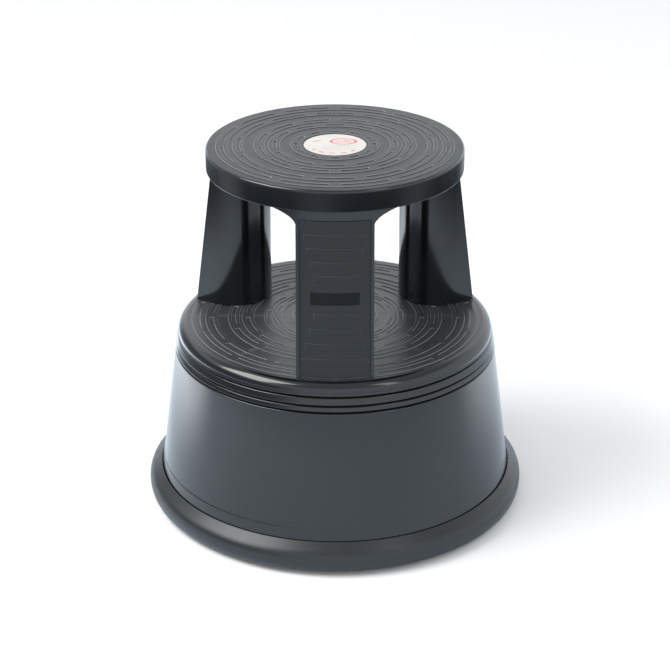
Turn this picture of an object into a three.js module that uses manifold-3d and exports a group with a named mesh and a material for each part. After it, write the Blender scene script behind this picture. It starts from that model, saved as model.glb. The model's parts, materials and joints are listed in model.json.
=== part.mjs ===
// Rolling step stool: a round top step on three hollow legs, a drum whose deck is the lower step,
// a bumper ring at the floor, and three castors on springs that give way when someone steps up.
// Millimetres, +Z up. The origin is on the floor under the middle, and the front leg is towards -Y.
import * as THREE from "three";
import { mergeVertices } from "three/addons/utils/BufferGeometryUtils.js";
import Module from "manifold-3d";

const wasm = await Module();
wasm.setup();

// ---- Driving dimensions -------------------------------------------------------------------------

// The whole stool, standing on its wheels with nobody on it.
const HEIGHT = 430; // floor to the top step
const DECK_Z = 220; // floor to the lower step
const TOP_R = 145; // top step
const SHOULDER_R = 182.2; // drum just under its rounded shoulder
const FOOT_R = 206; // drum wall at the bumper ring

// Walls and the gaps between pieces.
const WALL = 3.5; // drum, skirt and leg walls
const GAP = 0.3; // between pieces that touch
const SNAP_GAP = 0.4; // round a cover or a plate that snaps in
const RUNNING = 0.1; // round the axles, which faceted holes still clear
const SLIDING = 0.2; // round the castor stems
const SCREW_GAP = 0.3; // between a screw's core and its hole

// Treads: raised bands on both steps, each from its inner to its outer radius.
const TREAD_H = 0.8;
const TOP_TREADS = [[38, 50], [61.7, 91.6], [103, 134]];
const DECK_TREADS = [[44, 49.8], [61, 82.5], [94, 124.5], [136, 166.7]];
const LABEL_R = 35;
const LABEL_T = 0.4;

// Top step.
const SKIRT_H = 25.5;
const EDGE_R = 2.5; // rounded upper edge
const EDGE_STEPS = 2; // facets in that edge
const TOP_RIB_H = 12;
const TOP_RIB_T = 3;
const HUB_R = 20;
const RIBS = 6;

// Legs, seen from above: a flat-sided U whose open side faces out. u runs outwards, v sideways.
const LEG_ANGLES = { front: -90, left: 150, right: 30 };
const LEG_FOOT_R = 169.5; // outer face at the lower step
const LEG_SETBACK = 1.5; // outer face at the skirt, inside the edge of the top step
const LEG_HALF = 42.3; // half the width
const LEG_BACK_U = 140; // where the round back starts
const LEG_BACK_DEPTH = 47; // how far the round back reaches inwards
const HAUNCH_HALF = 68; // half the width of the leg's head under the skirt
const HAUNCH_H = 15; // height of that head
const HAUNCH_DEPTH = 28; // how far it reaches inwards
const HAUNCH_BEND = { across: 0.14, up: 0.62 }; // bend of its flare, as shares of the flare

// Leg covers and the blank plates on them.
const COVER_T = 3;
const COVER_DROP = 10; // from the skirt down to the cover's upper edge
const BAR_H = 7; // raised bars across a cover
const BAR_T = 0.8;
const BAR_MARGIN = 1.4; // from the widest bar's end to the cover's edge
const BARS_ABOVE = { count: 5, start: 22, pitch: 14.7, widen: 3.4 }; // widen: each end, each bar
const BARS_BELOW = { count: 4, start: 20.3, pitch: 16.8, widen: 4.6 };
const PLATE_W = 53;
const PLATE_H = 13;
const PLATE_T = 1.2;
const PLATE_BELOW_TOP = 120.4; // from the top step to the plate's middle
const SNAP_RIB_D = 6;
const SNAP_RIB_T = 2;
const SNAP_RIB_INSET = 5; // from the cover's edge to the rib's middle
const SNAP_RIB_CLEAR = 8; // over the screw posts in the foot

// Drum.
const SHOULDER_ROUND = 11.7;
const SHOULDER_STEPS = 3; // facets in the rounded shoulder
const LEDGES = [15.6, 25.5, 33]; // stepped lines below the deck
const LEDGE_OUT = 1.9; // how much wider the drum is below each of the first two
const LEDGE_CUT = 0.9; // undercut under each ledge
const LEDGE_DROP = 1; // height over which the first undercut runs out
const LEDGE_MARGIN = 4; // the inside starts to curve in this far below the lowest ledge
const WALL_LINE_H = 12.5; // thin line above the ring
const WALL_LINE_T = 0.5;
const DECK_RIB_H = 12;
const DECK_RIB_REACH = 5; // how far the deck's ribs run into the rounded shoulder
const POST_R = 6; // screw posts near the foot of the drum
const POST_H = 36;

// Bumper ring.
const RING_OUT = 15.8; // how far it stands out past the drum wall
const RING_TOP_Z = 38;
const RING_WAIST_Z = 20; // height of its widest line
const RING_BOTTOM_Z = 6;
const LEDGE_Z = 34; // where the drum's lower edge rests
const RING_T = 3;
const RING_LIP = { out: 5, down: 3.2 }; // bevel beside the slot
const RING_SHOULDER = { in: 4.8, up: 9.5 }; // corners over the widest line, in from it and up
const RING_BROW = { in: 1.7, up: 6 };
const RING_BELLY = { up: 2, down: 2.5 }; // straight part at the widest line
const RING_HEEL = { in: 1, up: 6 }; // corners near the floor, up from the bottom
const RING_FOOT_IN = 4.4;
const RING_INNER_HEEL = { in: 1.2, up: 7 }; // the same for the inner face of the skin
const RING_INNER_FOOT_IN = 4.6;
const RING_FIT = 1; // between the drum wall and the ring's web
const SLOT_GAP = 0.5; // dark line between the drum wall and the ring
const WEB_TOP_Z = 62;
const WEB_T = 4;
const WEB_MARGIN = 6; // from the castor housings to the web's inner edge
const RING_RIBS = 12;
const RING_RIB_SHORT = 0.6; // the ribs stop this far inside the widest line of the skin
const FOOT_STRIP_Z = 4.8; // underside of the rubber strip
const FOOT_STRIP_TOP_Z = 13.7;

// Castors.
const WHEEL_R = 18;
const WHEEL_W = 14;
const TRAIL = 12; // from the swivel axis to the axle
const AXLE_R = 4;
const AXLE_HEAD_R = 6;
const AXLE_HEAD_T = 2;
const AXLE_FLARE = 1; // the axle's peened end
const CHEEK_T = 3;
const CHEEK_GAP = 1.3;
const CHEEK_R = 7;
const CROWN_T = 4;
const CROWN_BACK = 12; // from the swivel axis to the back of the crown
const RIVET_R = 8;
const RIVET_T = 3;
const WHEEL_TO_RIVET = 2; // least gap over the wheel
const NECK_R = 4;
const STEM_R = 5;
const COLLAR_R = 10.5;
const COLLAR_T = 3;
const BUSH_R = 12.6;
const BUSH_LIP = 1.1;
const BUSH_LIP_T = 3.7;
const BUSH_SLEEVE_R = 9;
const BUSH_RISE = 8; // bush above the web
const SPRING_L = 39; // between the collar and the housing's top
const SPRING_COIL_R = 8.5;
const SPRING_WIRE_R = 1;
const SPRING_TURNS = 5;
const SPRING_STEPS = 6; // straight lengths in one turn of the wire
const HOUSING_T = 3;
const HOUSING_BORE_R = 14;
const HOUSING_FLANGE_R = 26;
const CLIP_R = 8;
const CLIP_T = 1;
const CLIP_OPENING = 40; // half the angle of its gap
const STEM_TIP = 4; // stem above its groove
const STEM_CHAMFER = 1;
const WHEEL_HUB_T = 4;
const WHEEL_RIM_T = 4;
const WHEEL_DISH = 2;
const TREAD_BEVEL = { in: 1.5, across: 2 };
const CASTOR_MARGIN = 17; // from the wheel's sweep to the ring's inner skirt

// Screws: core radius, head radius, head height.
const SCREW_R = 2;
const HEAD_R = 4.2;
const HEAD_T = 2.6;
const HEAD_CROWN = 0.7; // flat of a head, as a share of its radius
const LEG_SCREW_L = 42; // height of the posts the leg screws bite into
const LEG_SCREW_SHORT = 6; // the screws end this far below the posts' tops
const LEG_HOLE_SHORT = 2; // and their holes this far
const LEG_SCREW_U = 140;
const LEG_SCREW_V = 22;
const LEG_BOSS_R = 6;
const DECK_BOSS_R = 7;
const DECK_BOSS_H = 9;
const RING_SCREW_L = 24;
const HOUSING_SCREW_L = 8;

// Cutting solids run this far past the faces they cut, and merged ones this far into each other.
const PAST = 1;
const FAR_PAST = 20;

// Facets.
const ROUND = 36; // large turned pieces
const FINE = 48; // cones that shape the legs
const SMALL = 12; // castor pieces
const TINY = 6; // screws
const TREAD_FACETS = 16; // castor wheels

// ---- Sizes that follow from the ones above ------------------------------------------------------

const plainTopZ = HEIGHT - TREAD_H;
const plateZ = plainTopZ - WALL; // underside of the top step's plate
const skirtZ = HEIGHT - SKIRT_H;
const plainDeckZ = DECK_Z - TREAD_H;
const deckUnderZ = plainDeckZ - WALL;
const legFootZ = DECK_Z + GAP;
const beyondR = LEG_FOOT_R + FAR_PAST;
const legPostTopZ = legFootZ + LEG_SCREW_L;
const legLean = (LEG_FOOT_R - (TOP_R - LEG_SETBACK)) / (skirtZ - DECK_Z);
const legFaceR = (z) => LEG_FOOT_R - (z - DECK_Z) * legLean;
const haunchZ = skirtZ - HAUNCH_H;
const coverTopZ = skirtZ - COVER_DROP;
const coverHalf = LEG_HALF - WALL - SNAP_GAP;
const plateMidZ = HEIGHT - PLATE_BELOW_TOP;

const wallTopZ = DECK_Z - LEDGES[2];
const wallTopR = SHOULDER_R + 2 * LEDGE_OUT;
const shoulderCentreR = SHOULDER_R - SHOULDER_ROUND;
const wallLean = (FOOT_R - wallTopR) / (wallTopZ - RING_TOP_Z);
const wallR = (z) => FOOT_R - (z - RING_TOP_Z) * wallLean;

const ringR = FOOT_R + RING_OUT;
const ringInnerR = wallR(WEB_TOP_Z) - WALL - RING_FIT;
const ringSlotR = wallR(LEDGE_Z) + SLOT_GAP;
const webZ = WEB_TOP_Z - WEB_T;

const forkSweepR = TRAIL + WHEEL_R;
const castorR = ringInnerR - RING_T - CASTOR_MARGIN - forkSweepR;
const wheelTopZ = 2 * WHEEL_R;
const rivetZ = wheelTopZ + WHEEL_TO_RIVET;
const crownZ = rivetZ + RIVET_T + GAP;
const stemShoulderZ = crownZ + CROWN_T + GAP;
const bushTopZ = WEB_TOP_Z + BUSH_RISE;
const collarZ = bushTopZ + GAP;
const springZ = collarZ + COLLAR_T + GAP;
const springTopZ = springZ + SPRING_L;
const housingRoofZ = springTopZ + GAP;
const housingTopZ = housingRoofZ + HOUSING_T;
const clipZ = housingTopZ + GAP;
const grooveTopZ = clipZ + CLIP_T + GAP;
const stemTopZ = grooveTopZ + STEM_TIP;
const housingSeatZ = WEB_TOP_Z + GAP;
const housingFlangeZ = housingSeatZ + HOUSING_T;
const housingScrewV = (HOUSING_BORE_R + HOUSING_T + HOUSING_FLANGE_R) / 2;
const cheekIn = WHEEL_W / 2 + CHEEK_GAP;
const cheekOut = cheekIn + CHEEK_T;
const webInnerR = castorR - HOUSING_FLANGE_R - WEB_MARGIN;

const postR = wallR(WEB_TOP_Z + POST_H) - WALL - POST_R;
const ringScrewAngles = [0, 60, 120, 180, 240, 300];

// ---- Helpers ------------------------------------------------------------------------------------

const radians = (degrees) => (degrees * Math.PI) / 180;

// A solid turned round Z from [radius, z] points, which close on the axis or on themselves.
function turned(points, sides) {
  const loop = [...points, points[0]];
  const area = points.reduce((sum, [r, z], i) => sum + r * loop[i + 1][1] - loop[i + 1][0] * z, 0);
  const onAxis = points[0][0] === 0;
  const path = (onAxis ? points : loop).map(([r, z]) => new THREE.Vector2(r, z));
  if (area < 0) path.reverse();
  return new THREE.LatheGeometry(path, sides).rotateX(Math.PI / 2);
}

function shapeOf(points) {
  return new THREE.Shape(points.map(([x, y]) => new THREE.Vector2(x, y)));
}

// A shape drawn in plan, standing between two heights.
function standing(shape, lowZ, highZ, curveSegments = 7) {
  const options = { depth: highZ - lowZ, bevelEnabled: false, curveSegments };
  return new THREE.ExtrudeGeometry(shape, options).translate(0, 0, lowZ);
}

// A shape drawn as seen from outside the stool, in v and z, run outwards from one u to another.
function runOutwards(shape, lowU, highU, curveSegments = 4) {
  const options = { depth: highU - lowU, bevelEnabled: false, curveSegments };
  const geometry = new THREE.ExtrudeGeometry(shape, options);
  const axes = new THREE.Matrix4().makeBasis(
    new THREE.Vector3(0, 1, 0),
    new THREE.Vector3(0, 0, 1),
    new THREE.Vector3(1, 0, 0),
  );
  return geometry.applyMatrix4(axes).translate(lowU, 0, 0);
}

// A shape drawn from the side, in u and z, as a plate between two values of v.
function sidePlate(shape, lowV, highV, curveSegments = 3) {
  const options = { depth: highV - lowV, bevelEnabled: false, curveSegments };
  return new THREE.ExtrudeGeometry(shape, options).rotateX(Math.PI / 2).translate(0, highV, 0);
}

function box(lowU, highU, lowV, highV, lowZ, highZ) {
  const geometry = new THREE.BoxGeometry(highU - lowU, highV - lowV, highZ - lowZ);
  return geometry.translate((lowU + highU) / 2, (lowV + highV) / 2, (lowZ + highZ) / 2);
}

function rod(radius, lowZ, highZ, sides, x = 0, y = 0) {
  const geometry = new THREE.CylinderGeometry(radius, radius, highZ - lowZ, sides);
  return geometry.rotateX(Math.PI / 2).translate(x, y, (lowZ + highZ) / 2);
}

function solid(geometry) {
  const bare = new THREE.BufferGeometry();
  bare.setAttribute("position", geometry.getAttribute("position"));
  bare.setIndex(geometry.getIndex());
  const merged = mergeVertices(bare, 1e-3);
  const vertProperties = merged.getAttribute("position").array;
  const triVerts = new Uint32Array(merged.getIndex().array);
  return new wasm.Manifold(new wasm.Mesh({ numProp: 3, vertProperties, triVerts }));
}

const join = (first, ...others) => others.reduce((whole, part) => whole.add(part), first);
const cut = (first, ...others) => others.reduce((whole, part) => whole.subtract(part), first);

function geometryOf(made) {
  const { vertProperties, triVerts } = made.getMesh();
  const geometry = new THREE.BufferGeometry();
  geometry.setAttribute("position", new THREE.BufferAttribute(vertProperties, 3));
  geometry.setIndex(new THREE.BufferAttribute(triVerts, 1));
  geometry.computeVertexNormals();
  return geometry;
}

// Geometry turned about the stool's own axis, then made a solid.
const solidAt = (geometry, degrees) => solid(geometry.clone().rotateZ(radians(degrees)));

// ---- Materials ----------------------------------------------------------------------------------

const plastic = (color, roughness) =>
  new THREE.MeshStandardMaterial({ color, roughness, metalness: 0 });
const metal = (color, roughness) =>
  new THREE.MeshStandardMaterial({ color, roughness, metalness: 1 });

const MATERIALS = {
  body: plastic(0x3f464b, 0.35),
  cover: plastic(0x3b3f42, 0.45),
  plate: plastic(0x26292b, 0.3),
  label: plastic(0xebe7e2, 0.5),
  ring: plastic(0x3c4346, 0.5),
  rubber: plastic(0x181818, 0.9),
  nylon: plastic(0xd8d6cc, 0.5),
  tyre: plastic(0x2c2c2e, 0.6),
  steel: metal(0xa8abad, 0.3),
};

const stool = new THREE.Group();

function addMesh(parent, name, geometry, material) {
  const mesh = new THREE.Mesh(geometry, MATERIALS[material]);
  mesh.name = name;
  parent.add(mesh);
}

// ---- Top step with its legs ---------------------------------------------------------------------

// Profile points over raised bands, from the axis outwards.
function treadPoints(bands, lowZ) {
  const highZ = lowZ + TREAD_H;
  return bands.flatMap(([inner, outer]) => [
    [inner, lowZ],
    [inner, highZ],
    [outer, highZ],
    [outer, lowZ],
  ]);
}

// Points on a quarter circle from straight up to straight out.
function roundEdge(centreR, centreZ, radius, steps) {
  return Array.from({ length: steps + 1 }, (_, i) => {
    const angle = radians(90 - (90 * i) / steps);
    return [centreR + radius * Math.cos(angle), centreZ + radius * Math.sin(angle)];
  });
}

function topPlateProfile() {
  return [
    [0, plateZ],
    [TOP_R - WALL, plateZ],
    [TOP_R - WALL, skirtZ],
    [TOP_R, skirtZ],
    ...roundEdge(TOP_R - EDGE_R, plainTopZ - EDGE_R, EDGE_R, EDGE_STEPS).reverse(),
    ...treadPoints(TOP_TREADS, plainTopZ).reverse(),
    [0, plainTopZ],
  ];
}

// The leg in plan, drawn smaller by inset. It runs past the outer face, which a cone then trims.
function legPlan(inset) {
  const shape = new THREE.Shape();
  const depth = LEG_BACK_DEPTH - inset;
  const half = LEG_HALF - inset;
  shape.moveTo(beyondR, half);
  shape.lineTo(LEG_BACK_U, half);
  shape.absellipse(LEG_BACK_U, 0, depth, half, Math.PI / 2, (3 * Math.PI) / 2, false);
  shape.lineTo(beyondR, -half);
  return shape;
}

// The leg's head as seen from outside: it flares from the leg's width to the haunch width.
function haunchFront(inset) {
  const shape = new THREE.Shape();
  const top = skirtZ + WALL - inset;
  const lowHalf = LEG_HALF - inset;
  const highHalf = HAUNCH_HALF - 2 * inset;
  const bendHalf = lowHalf + (HAUNCH_HALF - LEG_HALF) * HAUNCH_BEND.across;
  const bendZ = haunchZ + HAUNCH_H * HAUNCH_BEND.up;
  shape.moveTo(lowHalf, haunchZ);
  shape.quadraticCurveTo(bendHalf, bendZ, highHalf, skirtZ);
  shape.lineTo(highHalf, top);
  shape.lineTo(-highHalf, top);
  shape.lineTo(-highHalf, skirtZ);
  shape.quadraticCurveTo(-bendHalf, bendZ, -lowHalf, haunchZ);
  return shape;
}

// Everything inside the outer face of the legs, less inset. Inside the skirt, that face runs
// straight up in the middle of the skirt's wall.
function legCone(inset, lowZ, highZ) {
  const skirtMiddleR = TOP_R - WALL / 2;
  const leaningZ = Math.min(highZ, skirtZ);
  const points = [
    [0, lowZ],
    [legFaceR(lowZ) - inset, lowZ],
    [legFaceR(leaningZ) - inset, leaningZ],
  ];
  if (highZ > skirtZ) points.push([skirtMiddleR - inset, skirtZ], [skirtMiddleR - inset, highZ]);
  return solid(turned([...points, [0, highZ]], FINE));
}

function legShell(degrees) {
  const topZ = plateZ + WALL / 2;
  const haunchU = TOP_R - LEG_SETBACK - HAUNCH_DEPTH;
  const outer = join(
    solidAt(standing(legPlan(0), legFootZ, topZ), degrees),
    solidAt(runOutwards(haunchFront(0), haunchU, beyondR), degrees),
  ).intersect(legCone(0, legFootZ, topZ));
  const hollow = join(
    solidAt(standing(legPlan(WALL), legFootZ - WALL, plateZ), degrees),
    solidAt(runOutwards(haunchFront(WALL), haunchU + WALL, beyondR), degrees),
  ).intersect(legCone(WALL, legFootZ - WALL, plateZ));
  const window = solidAt(standing(legPlan(WALL), legFootZ - WALL, coverTopZ), degrees);
  return cut(outer, hollow, window);
}

// Posts in the leg's foot that the leg screws bite into, each joined to the wall by a web.
function legPosts(degrees) {
  const topZ = legPostTopZ;
  const wallV = LEG_HALF - WALL / 2;
  const pieces = [-1, 1].flatMap((side) => {
    const v = side * LEG_SCREW_V;
    const post = rod(LEG_BOSS_R, legFootZ, topZ, SMALL, LEG_SCREW_U, v);
    const web = box(
      LEG_SCREW_U - WALL / 2,
      LEG_SCREW_U + WALL / 2,
      Math.min(v, side * wallV),
      Math.max(v, side * wallV),
      legFootZ,
      topZ,
    );
    return [solidAt(post, degrees), solidAt(web, degrees)];
  });
  return join(...pieces);
}

function legScrewHoles(degrees, lowZ, highZ) {
  const holes = [-1, 1].map((side) => {
    const hole = rod(SCREW_R + SCREW_GAP, lowZ, highZ, TINY, LEG_SCREW_U, side * LEG_SCREW_V);
    return solidAt(hole, degrees);
  });
  return join(...holes);
}

// Ribs under a step, from its hub to a radius.
function radialRibs(count, outerR, lowZ, highZ, offset) {
  const ribs = Array.from({ length: count }, (_, i) => {
    const rib = box(HUB_R / 2, outerR, -TOP_RIB_T / 2, TOP_RIB_T / 2, lowZ, highZ);
    return solidAt(rib, offset + (360 * i) / count);
  });
  return join(solid(rod(HUB_R, lowZ, highZ, SMALL)), ...ribs);
}

function upperBody() {
  const angles = Object.values(LEG_ANGLES);
  const ribs = radialRibs(RIBS, TOP_R - WALL / 2, plateZ - TOP_RIB_H, plateZ + WALL / 2, 0);
  const plate = join(solid(turned(topPlateProfile(), ROUND)), ribs);
  const labelSeat = solid(rod(LABEL_R + GAP, plainTopZ - LABEL_T, HEIGHT, ROUND));
  const hollows = angles.map((degrees) =>
    solidAt(standing(legPlan(WALL), plateZ - TOP_RIB_H - PAST, plateZ), degrees).intersect(
      legCone(WALL, plateZ - TOP_RIB_H - PAST, plateZ),
    ),
  );
  const shells = angles.flatMap((degrees) => [
    legShell(degrees),
    cut(legPosts(degrees), legScrewHoles(degrees, legFootZ - PAST, legPostTopZ - LEG_HOLE_SHORT)),
  ]);
  return join(cut(plate, labelSeat, ...hollows), ...shells);
}

addMesh(stool, "upper_body", geometryOf(upperBody()), "body");

const labelZ = plainTopZ - LABEL_T + GAP;
addMesh(stool, "top_label", rod(LABEL_R, labelZ, labelZ + LABEL_T, ROUND), "label");

// ---- Leg covers and their plates ----------------------------------------------------------------

// A rectangle seen from outside, cut out of the shell between two depths under the leg's face.
function facePatch(width, lowZ, highZ, outerInset, innerInset, degrees) {
  const half = width / 2;
  const outline = shapeOf([[-half, lowZ], [half, lowZ], [half, highZ], [-half, highZ]]);
  const lowU = LEG_BACK_U - LEG_BACK_DEPTH / 2;
  const block = solidAt(runOutwards(outline, lowU, beyondR), degrees);
  const outer = legCone(outerInset, lowZ - PAST, highZ + PAST);
  const inner = legCone(innerInset, lowZ - 2 * PAST, highZ + 2 * PAST);
  return cut(block.intersect(outer), inner);
}

// Bars in an hourglass: they grow wider away from the plate, on the side given by sign.
function coverBars({ count, start, pitch, widen }, sign, degrees) {
  return Array.from({ length: count }, (_, i) => {
    const midZ = plateMidZ + sign * (start + i * pitch);
    const width = 2 * (coverHalf - BAR_MARGIN - (count - 1 - i) * widen);
    return facePatch(width, midZ - BAR_H / 2, midZ + BAR_H / 2, GAP, COVER_T / 2, degrees);
  });
}

function legCover(degrees) {
  const lowZ = legFootZ + SNAP_GAP;
  const highZ = coverTopZ - SNAP_GAP;
  const snapRibZ = legPostTopZ + SNAP_RIB_CLEAR;
  const faceInset = GAP + BAR_T;
  const skin = facePatch(2 * coverHalf, lowZ, highZ, faceInset, faceInset + COVER_T, degrees);
  const trimmed = skin.intersect(
    solidAt(standing(legPlan(WALL + SNAP_GAP), lowZ - PAST, highZ + PAST), degrees),
  );
  const ribU = legFaceR(highZ) - faceInset - COVER_T - SNAP_RIB_D;
  const snapRibs = [-1, 1].map((side) => {
    const midV = side * (coverHalf - SNAP_RIB_INSET);
    const lowV = midV - SNAP_RIB_T / 2;
    const rib = box(ribU, LEG_FOOT_R, lowV, lowV + SNAP_RIB_T, snapRibZ, highZ);
    const inside = legCone(faceInset + COVER_T / 2, lowZ - PAST, highZ + PAST);
    return solidAt(rib, degrees).intersect(inside);
  });
  const seatDepth = faceInset + PLATE_T;
  const halfSeat = PLATE_H / 2 + SNAP_GAP;
  const seatWidth = PLATE_W + 2 * SNAP_GAP;
  const seat = facePatch(seatWidth, plateMidZ - halfSeat, plateMidZ + halfSeat, -PAST, seatDepth, degrees);
  const bars = [...coverBars(BARS_ABOVE, 1, degrees), ...coverBars(BARS_BELOW, -1, degrees)];
  return cut(join(trimmed, ...bars, ...snapRibs), seat);
}

// A blank plate where a maker would put a name.
function namePlate(degrees) {
  const half = PLATE_H / 2;
  const outerInset = GAP + BAR_T;
  const innerInset = outerInset + PLATE_T - GAP;
  return facePatch(PLATE_W, plateMidZ - half, plateMidZ + half, outerInset, innerInset, degrees);
}

for (const [side, degrees] of Object.entries(LEG_ANGLES)) {
  addMesh(stool, `leg_cover_${side}`, geometryOf(legCover(degrees)), "cover");
  addMesh(stool, `name_plate_${side}`, geometryOf(namePlate(degrees)), "plate");
}

// ---- Drum ---------------------------------------------------------------------------------------

// The outside of the drum from its lower edge up to the deck.
function drumOutside() {
  const [first, second, third] = LEDGES.map((depth) => DECK_Z - depth);
  const lineZ = RING_TOP_Z + WALL_LINE_H;
  const midR = SHOULDER_R + LEDGE_OUT;
  return [
    [wallR(LEDGE_Z), LEDGE_Z + GAP],
    [wallR(lineZ), lineZ],
    [wallR(lineZ) - WALL_LINE_T, lineZ + WALL_LINE_T],
    [wallTopR, third],
    [wallTopR - LEDGE_CUT / 2, third + LEDGE_CUT],
    [wallTopR - LEDGE_CUT, second],
    [midR + LEDGE_CUT, second + LEDGE_CUT],
    [midR - LEDGE_CUT / 2, first - LEDGE_DROP],
    [SHOULDER_R - LEDGE_CUT / 2, first],
    [SHOULDER_R + LEDGE_CUT, first + LEDGE_CUT],
    ...roundEdge(shoulderCentreR, plainDeckZ - SHOULDER_ROUND, SHOULDER_ROUND, SHOULDER_STEPS).reverse(),
  ];
}

function drumProfile() {
  const innerRound = SHOULDER_ROUND - WALL;
  return [
    ...drumOutside(),
    ...treadPoints(DECK_TREADS, plainDeckZ).reverse(),
    [0, plainDeckZ],
    [0, deckUnderZ],
    ...roundEdge(shoulderCentreR, deckUnderZ - innerRound, innerRound, SHOULDER_STEPS - 1),
    [wallR(wallTopZ - LEDGE_MARGIN) - WALL, wallTopZ - LEDGE_MARGIN],
    [wallR(LEDGE_Z) - WALL, LEDGE_Z + GAP],
  ];
}

// Closed on itself, the profile would run along the axis, so it is opened there.
function drumShell() {
  const points = drumProfile();
  const start = points.findIndex(([r, z]) => r === 0 && z === deckUnderZ);
  return solid(turned([...points.slice(start), ...points.slice(0, start)], ROUND));
}

// Posts inside the foot of the drum for the screws of the bumper ring.
function drumPosts() {
  const lowZ = housingSeatZ;
  const pieces = ringScrewAngles.flatMap((degrees) => {
    const post = rod(POST_R, lowZ, lowZ + POST_H, SMALL, postR, 0);
    const web = box(postR, postR + POST_R + WALL / 2, -WALL / 2, WALL / 2, lowZ, lowZ + POST_H);
    const hole = rod(SCREW_R + SCREW_GAP, lowZ - PAST, lowZ + RING_SCREW_L, TINY, postR, 0);
    return [solidAt(post, degrees), solidAt(web, degrees)].map((s) => cut(s, solidAt(hole, degrees)));
  });
  return pieces;
}

function drum() {
  const bosses = Object.values(LEG_ANGLES).flatMap((degrees) =>
    [-1, 1].map((side) => {
      const lowZ = deckUnderZ - DECK_BOSS_H;
      const boss = rod(DECK_BOSS_R, lowZ, deckUnderZ + PAST, SMALL, LEG_SCREW_U, side * LEG_SCREW_V);
      return solidAt(boss, degrees);
    }),
  );
  const ribR = shoulderCentreR + DECK_RIB_REACH;
  const ribs = radialRibs(RIBS, ribR, deckUnderZ - DECK_RIB_H, deckUnderZ + PAST, 0);
  const body = join(drumShell(), ribs, ...bosses, ...drumPosts());
  const holes = Object.values(LEG_ANGLES).map((degrees) => legScrewHoles(degrees, 0, HEIGHT));
  return cut(body, ...holes);
}

addMesh(stool, "drum", geometryOf(drum()), "body");

// ---- Bumper ring and its rubber strip -----------------------------------------------------------

function ringProfile() {
  const skin = RING_T;
  const shoulderR = ringR - RING_SHOULDER.in;
  const shoulderZ = RING_WAIST_Z + RING_SHOULDER.up;
  return [
    [webInnerR, webZ],
    [ringInnerR - skin, webZ],
    [ringInnerR - skin, RING_BOTTOM_Z],
    [ringInnerR, RING_BOTTOM_Z],
    [ringInnerR, LEDGE_Z - skin],
    [ringSlotR, LEDGE_Z - skin],
    [shoulderR - skin, shoulderZ - skin],
    [ringR - skin, RING_WAIST_Z],
    [ringR - skin - RING_INNER_HEEL.in, RING_BOTTOM_Z + RING_INNER_HEEL.up],
    [ringR - skin - RING_INNER_FOOT_IN, RING_BOTTOM_Z],
    [ringR - RING_FOOT_IN, RING_BOTTOM_Z],
    [ringR - RING_HEEL.in, RING_BOTTOM_Z + RING_HEEL.up],
    [ringR, RING_WAIST_Z - RING_BELLY.down],
    [ringR, RING_WAIST_Z + RING_BELLY.up],
    [ringR - RING_BROW.in, RING_WAIST_Z + RING_BROW.up],
    [shoulderR, shoulderZ],
    [ringSlotR + RING_LIP.out, RING_TOP_Z - RING_LIP.down],
    [ringSlotR, RING_TOP_Z],
    [ringSlotR, LEDGE_Z],
    [ringInnerR, LEDGE_Z],
    [ringInnerR, WEB_TOP_Z],
    [webInnerR, WEB_TOP_Z],
  ];
}

// Short ribs in the hollow of the ring, which the rubber strip seats against.
function ringRibs() {
  const outerR = ringR - RING_T - RING_RIB_SHORT;
  return Array.from({ length: RING_RIBS }, (_, i) => {
    const rib = box(
      ringInnerR - RING_T / 2,
      outerR,
      -RING_T / 2,
      RING_T / 2,
      FOOT_STRIP_TOP_Z + GAP,
      RING_WAIST_Z + RING_BELLY.up,
    );
    return solidAt(rib, (360 * (i + 1 / 2)) / RING_RIBS);
  });
}

const castorPlace = (degrees) => [
  castorR * Math.cos(radians(degrees)),
  castorR * Math.sin(radians(degrees)),
];

function baseRing() {
  const body = join(solid(turned(ringProfile(), ROUND)), ...ringRibs());
  const lowZ = webZ - PAST;
  const highZ = WEB_TOP_Z + PAST;
  const holes = ringScrewAngles.map((degrees) =>
    solidAt(rod(SCREW_R + SCREW_GAP, lowZ, highZ, TINY, postR, 0), degrees),
  );
  for (const degrees of Object.values(LEG_ANGLES)) {
    holes.push(solidAt(rod(BUSH_R + GAP, lowZ, highZ, SMALL, castorR, 0), degrees));
    for (const side of [-1, 1]) {
      const hole = rod(SCREW_R + SCREW_GAP, lowZ, highZ, TINY, castorR, side * housingScrewV);
      holes.push(solidAt(hole, degrees));
    }
  }
  return cut(body, ...holes);
}

addMesh(stool, "base_ring", geometryOf(baseRing()), "ring");

const stripR = ringR - RING_T - RING_INNER_FOOT_IN - GAP;
const stripProfile = [
  [ringInnerR + GAP, FOOT_STRIP_Z],
  [stripR, FOOT_STRIP_Z],
  [stripR, FOOT_STRIP_TOP_Z],
  [ringInnerR + GAP, FOOT_STRIP_TOP_Z],
];
addMesh(stool, "foot_ring", turned(stripProfile, ROUND), "rubber");

// ---- Screws -------------------------------------------------------------------------------------

// A pan-head screw whose head sits at z = 0 and whose shank points up.
function screw(length) {
  const points = [
    [0, -HEAD_T],
    [HEAD_R * HEAD_CROWN, -HEAD_T],
    [HEAD_R, -HEAD_T / 2],
    [HEAD_R, 0],
    [SCREW_R, 0],
    [SCREW_R, length - SCREW_R],
    [0, length],
  ];
  return turned(points, TINY);
}

// Places something made at the middle at a radius, side offset and height in a leg's direction.
function placed(geometry, degrees, u, v, z) {
  return geometry.translate(u, v, z).rotateZ(radians(degrees));
}

for (const [side, degrees] of Object.entries(LEG_ANGLES)) {
  [-1, 1].forEach((half, i) => {
    const headZ = deckUnderZ - DECK_BOSS_H - GAP;
    const length = legPostTopZ - LEG_SCREW_SHORT - headZ;
    const geometry = placed(screw(length), degrees, LEG_SCREW_U, half * LEG_SCREW_V, headZ);
    addMesh(stool, `leg_screw_${side}_${i + 1}`, geometry, "steel");
  });
}

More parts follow.
